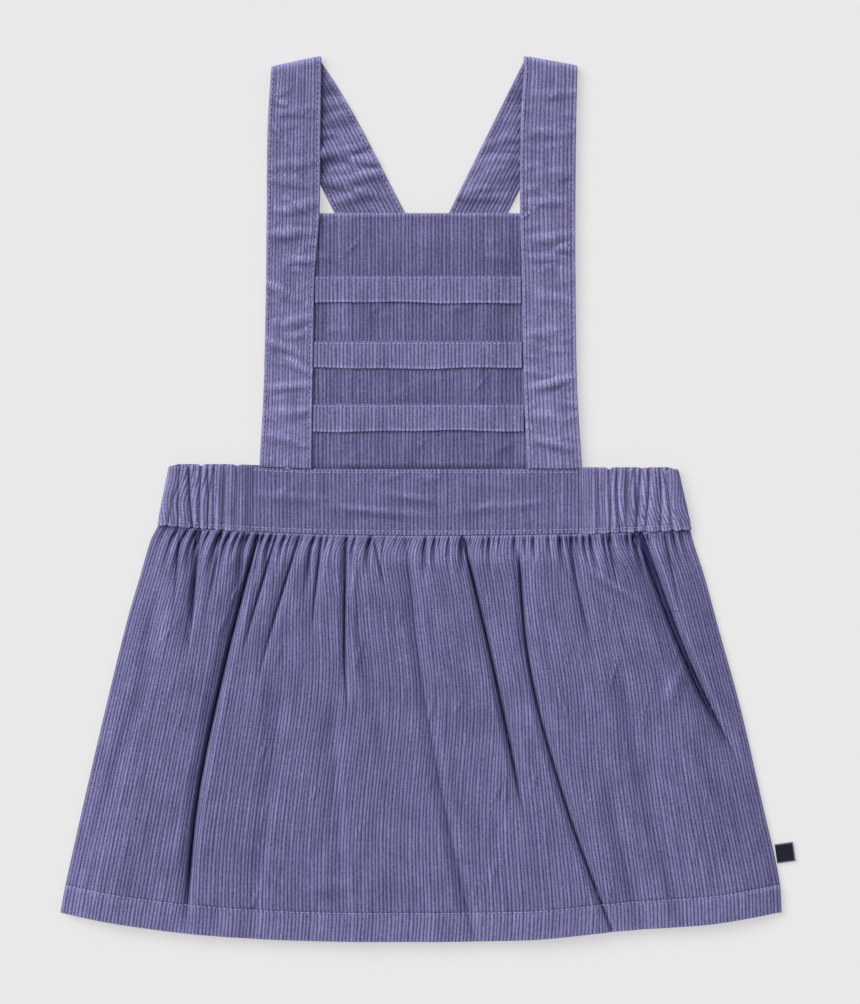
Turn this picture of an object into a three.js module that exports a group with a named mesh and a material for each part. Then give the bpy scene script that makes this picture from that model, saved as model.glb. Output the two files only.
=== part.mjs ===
import * as THREE from "three";

// A child's corduroy pinafore dress, size two to three years, laid flat on its back with its front up.
// Millimetres. +X is to the right of the front, +Y runs from the hem up to the straps, +Z is up.
// z = 0 is the surface that it lies on, and the origin is under the middle of the waistband.

// Cloth
const cord = 1.2; // one layer of corduroy
const doubled = 2.0; // two pressed layers, as in the straps and the tucks
const seam = 0.3; // clear space between two pieces that are sewn together

// Waistband: a flat centre front, and an elasticated band that comes round from the back
const band = {
  thickness: 2.2,
  topEdge: 15,
  lowerEdge: -18.3, // at the centre front
  riseLeft: 5.5, // how much higher the lower edge is at the left end
  riseRight: 3,
  seamLeft: -84.5, // where the flat front meets the elasticated band
  seamRight: 78.5,
  frontHeight: 4.5, // middle of the wall above the surface
  backHeight: 1.1,
  leftTopRise: 1.6, // the top edge climbs this much towards the left end
  end: { leftTop: -125.6, leftLow: -131.6, rightTop: 127.2, rightLow: 134.2 },
};

// Skirt: a front and a back panel, gathered into the band and sewn together down the sides
const skirt = {
  sideTop: -13,
  sideHem: -207,
  hemDrop: 14.3, // how much lower the middle of the hem hangs than its corners
  hemMiddle: -12, // x of the lowest point of the hem
  hemReach: { left: 169, right: 190 },
  hemLift: { x: 86, half: 32, rise: 2 }, // where the long right crease draws the hem up
  hemShare: 0.93, // the turned hem starts at this share of the way down
  seamHeight: 5.4, // top of the front panel where it leaves the band
  fullness: 10.6, // top of the front panel between its creases
  hemHeight: 10.4,
  sideRound: 30, // the front panel comes down to the back one over this width
  panelGap: 0.5, // least space between the two panels
};

const sideRows = [
  { y: -13, left: -131.9, right: 134.3 },
  { y: -36, left: -140.4, right: 141.2 },
  { y: -60, left: -147.4, right: 147.6 },
  { y: -103, left: -158, right: 159.3 },
  { y: -150, left: -168.9, right: 170 },
  { y: -190, left: -177.8, right: 178.8 },
  { y: -207, left: -181, right: 180 },
];

// Creases of the front panel. The four places are x at the band, at a third and two thirds of the way
// down, and at the hem; start and end are shares of the way; left and right are the widths of its sides.
const frontCreases = [
  { name: "left_side_soft", places: [-128, -139, -156.5, -182], start: 0.15, end: 0.86, depth: 1.2, left: 8, right: 8 },
  { name: "left_elastic", places: [-111.2, -117, -124, -130], start: -0.1, end: 0.34, depth: 2.6, left: 8, right: 4 },
  { name: "left_long", places: [-81.5, -98.5, -112, -118.5], start: -0.1, end: 1.02, depth: 3.9, left: 8, right: 4.5 },
  { name: "left_second", places: [-72.5, -91.5, -106, -116], start: -0.1, end: 0.34, depth: 2.2, left: 5, right: 4 },
  { name: "left_third", places: [-61, -80.5, -95, -105], start: -0.1, end: 0.4, depth: 2, left: 5, right: 4 },
  { name: "left_short", places: [-50, -57.5, -64, -70], start: -0.1, end: 0.28, depth: 2, left: 5, right: 4 },
  { name: "middle_left", places: [-38, -38.5, -33, -28], start: -0.1, end: 0.46, depth: 2.5, left: 4, right: 5 },
  { name: "middle_slant", places: [-38, -28, -15, -4], start: 0.12, end: 0.62, depth: 1, left: 7, right: 7 },
  { name: "middle_short", places: [-24.5, -10, 0, 8], start: -0.1, end: 0.17, depth: 1.8, left: 4, right: 4 },
  { name: "middle_soft", places: [-8.5, -1, 11, 26], start: -0.1, end: 1.1, depth: 1.3, left: 7, right: 5 },
  { name: "right_long", places: [20.3, 36, 49.5, 60], start: -0.1, end: 0.72, depth: 3.6, left: 4.5, right: 7 },
  { name: "right_to_hem", places: [47.5, 54, 71.5, 95], start: 0, end: 1.1, depth: 2.9, left: 5, right: 6 },
  { name: "right_short", places: [72, 86, 98, 108], start: -0.1, end: 0.36, depth: 1.6, left: 6, right: 6 },
  { name: "lower_right", places: [62, 80, 93, 110], start: 0.6, end: 1.1, depth: 1.1, left: 7, right: 6 },
  { name: "right_deep", places: [109.5, 133.5, 163, 184], start: -0.1, end: 0.62, depth: 4.6, left: 7, right: 4.5 },
  { name: "right_side_soft", places: [100, 118, 147.5, 182], start: 0.48, end: 0.88, depth: 1.1, left: 8, right: 8 },
];

// Low ridges of the back panel, which lies on the surface between them
const backRidges = [
  { name: "back_left_side", places: [-104, -116, -128, -139], start: -0.1, end: 0.45, depth: 1, left: 7, right: 7 },
  { name: "back_left_long", places: [-74, -86, -97, -106], start: -0.1, end: 0.85, depth: 1.6, left: 8, right: 6 },
  { name: "back_left_short", places: [-45, -51, -57, -62], start: -0.1, end: 0.3, depth: 1.2, left: 6, right: 6 },
  { name: "back_middle", places: [-12, -14, -19, -24], start: -0.1, end: 0.6, depth: 1.5, left: 7, right: 8 },
  { name: "back_right_short", places: [19, 23, 27, 30], start: -0.1, end: 0.35, depth: 1.2, left: 6, right: 6 },
  { name: "back_right_long", places: [51, 61, 72, 84], start: -0.1, end: 0.85, depth: 1.6, left: 7, right: 8 },
  { name: "back_right_side", places: [92, 104, 115, 126], start: -0.1, end: 0.4, depth: 1, left: 7, right: 7 },
];

const backRidgeLimit = 1.8;

// Creases of the elasticated band on its two front stretches
const elasticCreases = [
  { x: -124, depth: 0.7, half: 3 },
  { x: -115.8, depth: 1.3, half: 3 },
  { x: -110.4, depth: 1.1, half: 2.6 },
  { x: -105.4, depth: 1.2, half: 3 },
  { x: -98.8, depth: 0.8, half: 3 },
  { x: 93.8, depth: 0.9, half: 3 },
  { x: 98.4, depth: 1.1, half: 2.6 },
  { x: 106.6, depth: 1.2, half: 3.4 },
  { x: 112.4, depth: 1.2, half: 3 },
  { x: 119.8, depth: 1.1, half: 3 },
];
const elasticSwell = 0.7; // how far the elasticated band stands above the flat front
const backGather = { pace: 3.2, rise: 0.7 }; // gathers of the band's back, which lies flat between them

// Bib, its tucks and the straps
const bib = { top: 143.2, low: 15.4, left: -61, right: 59, edgeHeight: 3.3, rise: 2.2 };
const tuck = { stitches: [111.5, 78.8, 47.3], depth: 13.5, left: -53.2, right: 49.2 };
const strapHeight = { front: 5.2, back: 1, crossing: 2.6 };
const crossing = { y: 91, full: 33, end: 50 };

// Edges of the straps. The front runs up from the band to the shoulder, and the back runs from the shoulder
// down to the band behind the bib, where the two straps cross; t is the share of the way down.
const straps = {
  strap_left: {
    front: [
      { y: 16.4, outer: -81.3, inner: -55.2 },
      { y: 56, outer: -79.2, inner: -54.7 },
      { y: 110, outer: -78, inner: -53.6 },
      { y: 143, outer: -77.7, inner: -51.2 },
      { y: 187, outer: -77.2, inner: -50.7 },
    ],
    shoulder: { outer: [-75.6, 213.6], inner: [-50.4, 219] },
    back: [
      { t: 0.17, y: 185, outer: -63.4, inner: -30 },
      { t: 0.37, y: 144, outer: -44.2, inner: -8.8 },
      { t: 1, y: 15.4, outer: 26.6, inner: 60 },
    ],
    over: false,
  },
  strap_right: {
    front: [
      { y: 15.4, outer: 80.1, inner: 52.6 },
      { y: 56, outer: 77.6, inner: 50.9 },
      { y: 110, outer: 76.8, inner: 49.9 },
      { y: 143, outer: 76.7, inner: 49 },
      { y: 187, outer: 77.1, inner: 49.2 },
    ],
    shoulder: { outer: [77.7, 214.2], inner: [50.9, 219] },
    back: [
      { t: 0.17, y: 185, outer: 64.1, inner: 34 },
      { t: 0.37, y: 144, outer: 43.4, inner: 13.8 },
      { t: 1, y: 15.4, outer: -20.8, inner: -50.1 },
    ],
    over: true,
  },
};

// Folded label in the right side seam
const label = { root: [176.6, -172.9], width: 9.3, length: 9.8, turn: 8, height: 1.4, thickness: 1 };

const corduroy = new THREE.MeshStandardMaterial({ color: "#6f6da0", roughness: 0.92, metalness: 0 });
const satin = new THREE.MeshStandardMaterial({ color: "#1f2542", roughness: 0.45, metalness: 0 });

const { lerp, clamp } = THREE.MathUtils;

// 0 to 1 with soft ends
const ease = (t) => THREE.MathUtils.smoothstep(t, 0, 1);

// 1 at d = 0, falling softly to 0 at the width of the side that d is on
function bell(d, left, right) {
  const share = Math.min(1, Math.abs(d) / (d < 0 ? left : right));
  return 0.5 + 0.5 * Math.cos(Math.PI * share);
}

// A smooth curve through the rows of a table: column against key
function through(rows, key, column) {
  const slope = (i) => {
    const a = rows[Math.max(i - 1, 0)];
    const b = rows[Math.min(i + 1, rows.length - 1)];
    return (b[column] - a[column]) / (b[key] - a[key]);
  };
  return (at) => {
    const ahead = rows.findIndex((row, k) => k > 0 && (row[key] - at) * (row[key] - rows[k - 1][key]) >= 0);
    const i = (ahead < 0 ? rows.length - 1 : ahead) - 1;
    const step = rows[i + 1][key] - rows[i][key];
    const t = clamp((at - rows[i][key]) / step, 0, 1);
    const start = rows[i][column];
    const end = rows[i + 1][column];
    const bend = t * (1 - t) * ((1 - t) * (slope(i) * step - end + start) - t * (slope(i + 1) * step - end + start));
    return lerp(start, end, t) + bend;
  };
}

// A closed wall between two grids of points that have the same rows and columns. Rows run from one end to
// the other, and seen from the side of the upper grid, the columns run to the right as the rows go down.
function wall(name, upper, lower, material) {
  const rows = upper.length;
  const columns = upper[0].length;
  const positions = [...upper.flat(), ...lower.flat()].flatMap((p) => [p.x, p.y, p.z]);
  const top = (i, j) => i * columns + j;
  const under = (i, j) => rows * columns + top(i, j);
  const faces = [];
  const quad = (a, b, c, d) => faces.push(a, b, c, a, c, d);
  for (let i = 0; i + 1 < rows; i++)
    for (let j = 0; j + 1 < columns; j++) {
      quad(top(i, j), top(i + 1, j), top(i + 1, j + 1), top(i, j + 1));
      quad(under(i, j), under(i, j + 1), under(i + 1, j + 1), under(i + 1, j));
    }
  for (let j = 0; j + 1 < columns; j++) {
    quad(top(0, j), top(0, j + 1), under(0, j + 1), under(0, j));
    quad(top(rows - 1, j + 1), top(rows - 1, j), under(rows - 1, j), under(rows - 1, j + 1));
  }
  for (let i = 0; i + 1 < rows; i++) {
    quad(top(i + 1, 0), top(i, 0), under(i, 0), under(i + 1, 0));
    quad(top(i, columns - 1), top(i + 1, columns - 1), under(i + 1, columns - 1), under(i, columns - 1));
  }
  const geometry = new THREE.BufferGeometry();
  geometry.setAttribute("position", new THREE.Float32BufferAttribute(positions, 3));
  geometry.setIndex(faces);
  geometry.computeVertexNormals();
  const mesh = new THREE.Mesh(geometry, material);
  mesh.name = name;
  return mesh;
}

// A wall with its middle on a grid of points, for bands that turn over
function bandOf(name, grid, thickness, material) {
  const at = (i, j) => grid[clamp(i, 0, grid.length - 1)][clamp(j, 0, grid[0].length - 1)];
  const moved = (side) =>
    grid.map((row, i) =>
      row.map((point, j) => {
        const down = at(i + 1, j).clone().sub(at(i - 1, j));
        const across = at(i, j + 1).clone().sub(at(i, j - 1));
        return point.clone().addScaledVector(down.cross(across).normalize(), (side * thickness) / 2);
      }),
    );
  return wall(name, moved(1), moved(-1), material);
}

const shares = (count, last = 1) => Array.from({ length: count + 1 }, (_, i) => (i * last) / count);
const grid = (down, across, point) => down.map((d) => across.map((a) => point(d, a)));

const shifted = (points, up) => points.map((row) => row.map((p) => new THREE.Vector3(p.x, p.y, p.z + up(p))));

// Lower edge of the waistband, the same at the front and at the back
function bandLowerEdge(x) {
  const rise = x < 0 ? band.riseLeft : band.riseRight;
  return band.lowerEdge + rise * Math.abs(x / band.end.leftLow) ** 2.2;
}

// Upper edge of the waistband
const bandTopEdge = (x) => band.topEdge + band.leftTopRise * ease((-55 - x) / 45);

const leftSide = through(sideRows, "y", "left");
const rightSide = through(sideRows, "y", "right");

function hemLine(x) {
  const { hemMiddle, hemReach, hemLift } = skirt;
  const out = Math.min(1, Math.abs(x - hemMiddle) / (x < hemMiddle ? hemReach.left : hemReach.right));
  return skirt.sideHem - skirt.hemDrop * (1 - out ** 2.6) + hemLift.rise * bell(x - hemLift.x, hemLift.half, hemLift.half);
}

// Place on a skirt panel: down runs from the band (0) to the hem (1), across from left (0) to right (1)
function onSkirt(down, across) {
  const sideY = lerp(skirt.sideTop, skirt.sideHem, down);
  const atBand = bandLowerEdge(lerp(leftSide(skirt.sideTop), rightSide(skirt.sideTop), across)) - seam;
  const atHem = hemLine(lerp(leftSide(skirt.sideHem), rightSide(skirt.sideHem), across));
  return new THREE.Vector3(lerp(leftSide(sideY), rightSide(sideY), across), lerp(atBand, atHem, down), 0);
}

// How far the creases of a table reach at a place of a panel
function creased(creases, x, down) {
  return creases.reduce((sum, crease) => {
    const rows = crease.places.map((place, k) => ({ down: k / 3, place }));
    const fade = ease((down - crease.start) / 0.12) * ease((crease.end - down) / 0.2);
    return sum + crease.depth * fade * bell(x - through(rows, "down", "place")(down), crease.left, crease.right);
  }, 0);
}

const skirtColumns = 78;

// Rows of a skirt panel from the band to the hem, the last two on the turned hem, and the wall there
const skirtRows = (count) => [...shares(count, skirt.hemShare - 0.005), skirt.hemShare + 0.01, 1];
const skirtWall = (down) => (down > skirt.hemShare ? doubled : cord);

// Underside of the back panel
function backRise(p, down, across) {
  const edge = ease(Math.min(across, 1 - across) * 10);
  return Math.min(backRidgeLimit, creased(backRidges, p.x, down)) * edge;
}

function skirtBack() {
  const downs = skirtRows(9);
  const at = (down, across) => {
    const p = onSkirt(down, across);
    return p.setZ(backRise(p, down, across));
  };
  const under = grid(downs, shares(skirtColumns / 2), at);
  const upper = under.map((row, i) => row.map((p) => p.clone().setZ(p.z + skirtWall(downs[i]))));
  return wall("skirt_back", upper, under, corduroy);
}

function skirtFront() {
  const downs = skirtRows(9);
  const rest = (p, down, across) => backRise(p, down, across) + skirtWall(down) + skirt.panelGap;
  const at = (down, across) => {
    const p = onSkirt(down, across);
    const width = rightSide(p.y) - leftSide(p.y);
    const fromSide = Math.min(across, 1 - across) * width;
    const full = lerp(skirt.seamHeight, lerp(skirt.fullness, skirt.hemHeight, down), ease(down / 0.14));
    const side = Math.sin((Math.PI / 2) * Math.min(1, fromSide / skirt.sideRound));
    const lowest = rest(p, down, across) + skirtWall(down);
    const top = lerp(lowest, full, side) - creased(frontCreases, p.x, down) * side;
    return p.setZ(Math.max(lowest, top));
  };
  const upper = grid(downs, shares(skirtColumns), at);
  const lower = upper.map((row, i) =>
    row.map((p, j) => {
      const ahead = row[Math.min(j + 1, skirtColumns)];
      const behind = row[Math.max(j - 1, 0)];
      const steep = Math.hypot(1, (ahead.z - behind.z) / (ahead.x - behind.x));
      const bottom = p.z - skirtWall(downs[i]) * Math.min(1.5, steep);
      return p.clone().setZ(Math.max(rest(p, downs[i], j / skirtColumns), bottom));
    }),
  );
  return wall("skirt_front", upper, lower, corduroy);
}

function waistbandFront() {
  const middle = grid(shares(2), shares(16), (down, across) => {
    const x = lerp(band.seamLeft + seam / 2, band.seamRight - seam / 2, across);
    return new THREE.Vector3(x, lerp(bandTopEdge(x), bandLowerEdge(x), down), band.frontHeight);
  });
  return bandOf("waistband_front", middle, band.thickness, corduroy);
}

// The elasticated band, from the left front seam round the back to the right front seam
function waistbandBack() {
  const { end, frontHeight, backHeight } = band;
  const roll = (frontHeight + elasticSwell - backHeight) / 2;
  const leftEnd = (down) => lerp(end.leftTop, end.leftLow, down) + roll;
  const rightEnd = (down) => lerp(end.rightTop, end.rightLow, down) - roll;
  const front = (x) => {
    const swell = elasticSwell * Math.min(ease((band.seamLeft - x) / 8) + ease((x - band.seamRight) / 8), 1);
    const depth = elasticCreases.reduce((sum, c) => sum + c.depth * bell(x - c.x, c.half, c.half), 0);
    return frontHeight + swell - Math.min(1.3, depth);
  };
  const groove = (x) => backGather.rise * Math.max(0, -Math.cos(x / backGather.pace + Math.sin(x / 9))) ** 4;
  const columns = [];
  const stretch = (count, column) => {
    for (let k = 0; k <= count; k++) columns.push((down) => column(k / count, down));
  };
  stretch(20, (t, down) => {
    const x = lerp(band.seamLeft - seam / 2, leftEnd(down), t);
    const settled = ease((x - leftEnd(down)) / 4);
    return [x, lerp(backHeight + 2 * roll, front(x), settled)];
  });
  stretch(4, (t, down) => {
    const turn = Math.PI * lerp(0.1, 0.9, t);
    return [leftEnd(down) - roll * Math.sin(turn), backHeight + roll * (1 + Math.cos(turn))];
  });
  stretch(50, (t, down) => {
    const x = lerp(leftEnd(down), rightEnd(down), t);
    return [x, backHeight + groove(x) * ease(Math.min(t, 1 - t) * 20)];
  });
  stretch(4, (t, down) => {
    const turn = Math.PI * lerp(0.9, 0.1, t);
    return [rightEnd(down) + roll * Math.sin(turn), backHeight + roll * (1 + Math.cos(turn))];
  });
  stretch(22, (t, down) => {
    const x = lerp(rightEnd(down), band.seamRight + seam / 2, t);
    const settled = ease((rightEnd(down) - x) / 4);
    return [x, lerp(backHeight + 2 * roll, front(x), settled)];
  });
  const middle = columns.map((column) =>
    [0, 0.5, 1].map((down) => {
      const [x, z] = column(down);
      return new THREE.Vector3(x, lerp(bandTopEdge(x), bandLowerEdge(x), down), z);
    }),
  );
  return bandOf("waistband_back", middle, band.thickness, corduroy);
}

// Middle of the bib's wall: low under the straps, and over the crossed straps behind it
function bibHeight(x, y) {
  const across = ease((47 - Math.abs(x)) / 12);
  const along = Math.min(lerp(0.5, 1, ease((bib.top - y) / 18)), lerp(0.5, 1, ease((y - bib.low) / 30)));
  return bib.edgeHeight + bib.rise * across * along;
}

const bibPoint = (y, x) => new THREE.Vector3(x, y, bibHeight(x, y));
const tuckColumns = shares(14).map((t) => lerp(tuck.left, tuck.right, t));
const tuckRows = (stitch) => shares(2).map((t) => stitch - t * tuck.depth);

// The bib has the rows and columns of its tucks, with one more row between them and two near its top
function bibPanel() {
  const ys = [bib.top, ...shares(2, 2 / 3).slice(1).map((t) => lerp(bib.top, tuck.stitches[0], t))];
  tuck.stitches.forEach((stitch, i) => {
    const next = tuck.stitches[i + 1] ?? bib.low;
    ys.push(...tuckRows(stitch), lerp(stitch - tuck.depth, next, 0.5));
  });
  const middle = grid([...ys, bib.low], [bib.left, ...tuckColumns, bib.right], bibPoint);
  return wall("bib", shifted(middle, () => cord / 2), shifted(middle, () => -cord / 2), corduroy);
}

// A tuck is a fold of the bib, pressed down over it from its line of stitches
function tuckPiece(stitch, number) {
  const under = shifted(grid(tuckRows(stitch), tuckColumns, bibPoint), () => cord / 2 + seam);
  return wall("tuck_" + number, shifted(under, () => doubled), under, corduroy);
}

function strap(name) {
  const { front, shoulder, back, over } = straps[name];
  const roll = (strapHeight.front - strapHeight.back) / 2;
  const across = [0, 1 / 3, 2 / 3, 1];
  const rowOf = (outer, inner, z) => {
    const row = across.map((t) => new THREE.Vector3(lerp(outer[0], inner[0], t), lerp(outer[1], inner[1], t), z));
    return over ? row.reverse() : row;
  };
  const rows = [];
  const frontRows = [...front, { y: 213, outer: shoulder.outer[0], inner: shoulder.inner[0] }];
  const outerFront = through(frontRows, "y", "outer");
  const innerFront = through(frontRows, "y", "inner");
  for (let k = 0; k <= 12; k++) {
    const t = k / 12;
    const outerY = lerp(front[0].y, shoulder.outer[1], t);
    const innerY = lerp(front[0].y, shoulder.inner[1], t);
    rows.push(rowOf([outerFront(outerY), outerY], [innerFront(innerY), innerY], strapHeight.front));
  }
  for (let k = 1; k < 6; k++) {
    const turn = (Math.PI * k) / 6;
    const reach = roll * Math.sin(turn);
    const z = strapHeight.back + roll * (1 + Math.cos(turn));
    const { outer, inner } = shoulder;
    rows.push(rowOf([outer[0], outer[1] + reach], [inner[0], inner[1] + reach], z));
  }
  const edgeDown = (edge) => {
    const [x, y] = shoulder[edge];
    return [{ t: 0, x, y }, ...back.map((row) => ({ t: row.t, x: row[edge], y: row.y }))];
  };
  const point = (edge, t) => [through(edgeDown(edge), "t", "x")(t), through(edgeDown(edge), "t", "y")(t)];
  for (let k = 0; k <= 14; k++) {
    const t = k / 14;
    const y = point("inner", t)[1];
    const lifted = ease((crossing.end - Math.abs(y - crossing.y)) / (crossing.end - crossing.full));
    rows.push(rowOf(point("outer", t), point("inner", t), strapHeight.back + (over ? strapHeight.crossing * lifted : 0)));
  }
  return bandOf(name, rows.reverse(), doubled, corduroy);
}

function sideLabel() {
  const turn = THREE.MathUtils.degToRad(label.turn);
  const lower = grid(shares(1), shares(2), (down, across) =>
    new THREE.Vector3(across * label.width, -down * label.length, 0)
      .applyAxisAngle(new THREE.Vector3(0, 0, 1), turn)
      .add(new THREE.Vector3(...label.root, label.height - label.thickness / 2)),
  );
  return wall("label", shifted(lower, () => label.thickness), lower, satin);
}

const dress = new THREE.Group();
dress.add(skirtBack(), skirtFront(), waistbandBack(), waistbandFront(), bibPanel());
tuck.stitches.forEach((stitch, i) => dress.add(tuckPiece(stitch, i + 1)));
dress.add(strap("strap_left"), strap("strap_right"), sideLabel());

export default dress;
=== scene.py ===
import math
from collections import namedtuple

import bpy
import numpy as np
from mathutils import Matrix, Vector


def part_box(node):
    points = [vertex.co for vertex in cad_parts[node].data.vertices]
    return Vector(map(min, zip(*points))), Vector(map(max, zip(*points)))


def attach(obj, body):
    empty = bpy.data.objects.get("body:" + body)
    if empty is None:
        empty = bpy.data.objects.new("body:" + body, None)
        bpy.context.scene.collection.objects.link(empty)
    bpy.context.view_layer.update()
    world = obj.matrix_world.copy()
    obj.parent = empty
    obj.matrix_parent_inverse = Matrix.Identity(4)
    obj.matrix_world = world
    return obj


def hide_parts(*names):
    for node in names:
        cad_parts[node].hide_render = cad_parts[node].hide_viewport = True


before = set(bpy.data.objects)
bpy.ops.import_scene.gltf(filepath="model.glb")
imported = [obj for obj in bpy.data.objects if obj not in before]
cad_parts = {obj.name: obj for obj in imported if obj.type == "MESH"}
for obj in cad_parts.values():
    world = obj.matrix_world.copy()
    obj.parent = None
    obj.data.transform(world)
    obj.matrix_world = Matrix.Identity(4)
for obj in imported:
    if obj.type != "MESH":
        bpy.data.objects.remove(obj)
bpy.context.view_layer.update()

bl_info = {
    "name": "Corduroy Pinafore Dress",
    "version": (1, 0, 0),
    "blender": (4, 5, 0),
    "location": "View3D > Sidebar > Dress",
    "description": "Cloth, stitches, label and studio of a gathered corduroy pinafore dress that lies flat",
    "category": "Add Mesh",
}

# Lengths in this file are millimetres in the frame's own axes, and MM turns them into metres.
# +X is to the right of the dress, +Y runs from the hem up to the straps, +Z is up from the surface.
MM = 0.001
SEED = 14


def box_mm(part):
    """Lowest and highest corner of a part of the frame."""
    return [np.array(corner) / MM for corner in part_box(part)]


def linear(code):
    """A hex sRGB colour as linear values."""
    parts = [int(code[i : i + 2], 16) / 255 for i in (1, 3, 5)]
    return tuple(c / 12.92 if c <= 0.04045 else ((c + 0.055) / 1.055) ** 2.4 for c in parts) + (1.0,)


# Cloth
SEAM = 0.3  # clear space between two sewn pieces
RIM_LEAST = 0.15  # share of the thickness that is left at the very edge of a rolled rim
PER_WALE = 4  # columns of the mesh to one wale
LIT_FACING_TONE = (-0.16, 0.3)  # painted light: change of tone of cloth that faces along +X and along +Y, paler where it faces the key light at the upper left
RIDGE_WEAR_AND_SHADE = 0.3  # change of tone where the cloth bends with a radius of one millimetre: paler on ridges, partly wear and partly painted highlight, darker in hollows, painted shade
TOOTH = 0.38  # how far the ends of the wales stand out at a folded edge
SEAM_SHOWN = 0.05  # half the line that shows between two sewn pieces
TUCKED_UNDER = 2.4  # cloth of the skirt and the bib that lies under the waistband
INSIDE = (0.35, -0.1)  # nap and tone of the inside of the cloth, where little pile shows
PRESSED_WIDER = 1.03  # the wales of pressed pieces are a little wider than those of the skirt
WALE_WIDE = 1.8  # width of a wale where the way to a piece's side edge is counted in wales

# Waistband
BAND_LOW, BAND_HIGH = box_mm("waistband_front")
BAND_SEAM_LEFT, BAND_SEAM_RIGHT = BAND_LOW[0] - SEAM / 2, BAND_HIGH[0] + SEAM / 2
BAND_LOWER, BAND_UPPER = BAND_LOW[1], 15.0
BAND_MIDDLE = (BAND_LOW[2] + BAND_HIGH[2]) / 2
BAND_THICKNESS = BAND_HIGH[2] - BAND_LOW[2]
BAND_DEPTH = 33.0  # from its upper to its lower edge
BAND_STITCH_UPPER, BAND_STITCH_LOWER = 1.6, 2.2  # distances of its stitches from these edges
BAND_BACK_MIDDLE = 1.1  # middle of the band's wall at the back
BAND_RISE_LEFT, BAND_RISE_RIGHT = 5.5, 3.0  # how much the lower edge climbs to each end
BAND_TOP_RISE = 1.6  # how much the upper edge climbs at the left
BAND_ENDS = {"left": (-125.6, -131.6), "right": (127.2, 134.2)}  # x at the top and at the bottom
ELASTIC_FULLNESS = 1.3  # length of the relaxed band that its cloth has when it is stretched
ELASTIC_SWELL = 2.2  # how much higher the elasticated ends stand than the flat front
GATHER_DEEPER = 2.1  # depth of all creases of the elasticated band together
LOBE_DIP, LOBE_RISE = 1.5, 0.8  # how far its upper edge dips and its lower edge climbs at a crease

# Skirt
SIDE_TOP, SIDE_HEM = -13.0, -207.0  # y of the side seams' ends
HEM_DROP, HEM_MIDDLE = 14.3, -12.0  # how far the hem hangs below its corners, and where it hangs lowest
HEM_REACH = (169.0, 190.0)  # from there to its left and its right corner
HEM_LIFT_X, HEM_LIFT_HALF, HEM_LIFT = 102.0, 52.0, 1.8  # a stretch of the hem that is drawn up
HEM_SHARE = 0.93  # share of the way down at which the hem's stitches lie
SKIRT_LENGTH = 203.0  # from the waistband to the hem
SEAM_HEIGHT, FULLNESS, HEM_HEIGHT = 6.8, 10.6, 9.6  # top of the skirt at the seam, below it and at the hem
UNDER_BAND = 3.25  # top of the skirt and of the bib where they are sewn under the waistband
EVENED = 60  # times that the lines of the wales are smoothed
SIDE_ROUND = 30.0  # distance from a side seam over which the skirt rises to its height
PANEL_GAP = 0.5  # clear space between the two skirt panels
GATHER_RISE = 0.07  # share of the way down over which the gathers swell out from the band
SHARP, SHARP_SHARE = 0.32, 0.55  # width and share of the narrow line at the bottom of a crease
CREASE_DEEPER = 1.5  # the folds of the soft cloth are deeper than those of its plain solid
BACK_RIDGE_LIMIT = 1.8  # greatest height of the back panel's folds

SideRow = namedtuple("SideRow", "y left right")
SIDE_ROWS = [
    SideRow(-207, -181, 180),
    SideRow(-190, -177.8, 178.8),
    SideRow(-150, -168.9, 170),
    SideRow(-103, -158, 159.3),
    SideRow(-60, -147.4, 147.6),
    SideRow(-36, -140.4, 141.2),
    SideRow(-20.5, -135.8, 136.2),
    SideRow(-13, -131.9, 134.3),
]

# A crease of a skirt panel: its x at the band, a third and two thirds of the way down and at the hem,
# the shares of the way where it starts and ends, its depth, and the widths of its two sides.
Crease = namedtuple("Crease", "name band third second hem start end depth left right")
FRONT_CREASES = [
    Crease("left side soft", -128, -139, -156.5, -182, 0.15, 0.86, 1.2, 8, 8),
    Crease("left elastic", -111.2, -117, -124, -130, -0.1, 0.34, 3.4, 11, 4.5),
    Crease("left long", -81.5, -98.5, -112, -118.5, -0.1, 1.02, 3.9, 8, 4.5),
    Crease("left second", -72.5, -91.5, -106, -116, -0.1, 0.34, 2.2, 5, 4),
    Crease("left third", -61, -80.5, -95, -105, -0.1, 0.4, 2, 5, 4),
    Crease("left short", -50, -57.5, -64, -70, -0.1, 0.28, 2, 5, 4),
    Crease("middle left", -38, -38.5, -33, -28, -0.1, 0.46, 2.5, 4, 5),
    Crease("middle slant", -38, -28, -15, -4, 0.12, 0.62, 1, 7, 7),
    Crease("middle short", -24.5, -10, 0, 8, -0.1, 0.17, 1.8, 4, 4),
    Crease("middle soft", -8.5, -1, 11, 26, -0.1, 1.1, 1.3, 7, 5),
    Crease("right long", 20.3, 36, 49.5, 60, -0.1, 0.72, 3.6, 4.5, 7),
    Crease("right to hem", 47.5, 54, 71.5, 95, 0, 1.1, 2.9, 5, 6),
    Crease("right short", 72, 86, 98, 108, -0.1, 0.36, 1.6, 6, 6),
    Crease("lower right", 62, 80, 93, 110, 0.6, 1.1, 1.1, 7, 6),
    Crease("right deep", 109.5, 133.5, 163, 184, -0.1, 0.62, 6.4, 15, 4.5),
    Crease("right side soft", 100, 118, 147.5, 182, 0.48, 0.88, 1.1, 8, 8),
    Crease("left to hem soft", -66, -71, -78, -86, 0.3, 1.1, 0.8, 9, 6),
    Crease("middle to hem soft", -44, -46, -44, -38, 0.35, 1.1, 0.9, 8, 6),
    Crease("right to hem soft", 78, 96, 112, 130, 0.3, 1.1, 0.9, 9, 6),
    Crease("elastic right first", 92, 106, 122, 140, -0.1, 0.2, 1.8, 4, 4),
    Crease("elastic right second", 121, 134, 150, 168, -0.1, 0.24, 1.6, 4, 4),
    Crease("elastic left second", -121, -127, -138, -150, -0.1, 0.26, 1.6, 4, 4),
    Crease("elastic left third", -100, -112, -124, -134, -0.1, 0.22, 1.8, 4, 4),
]
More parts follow.
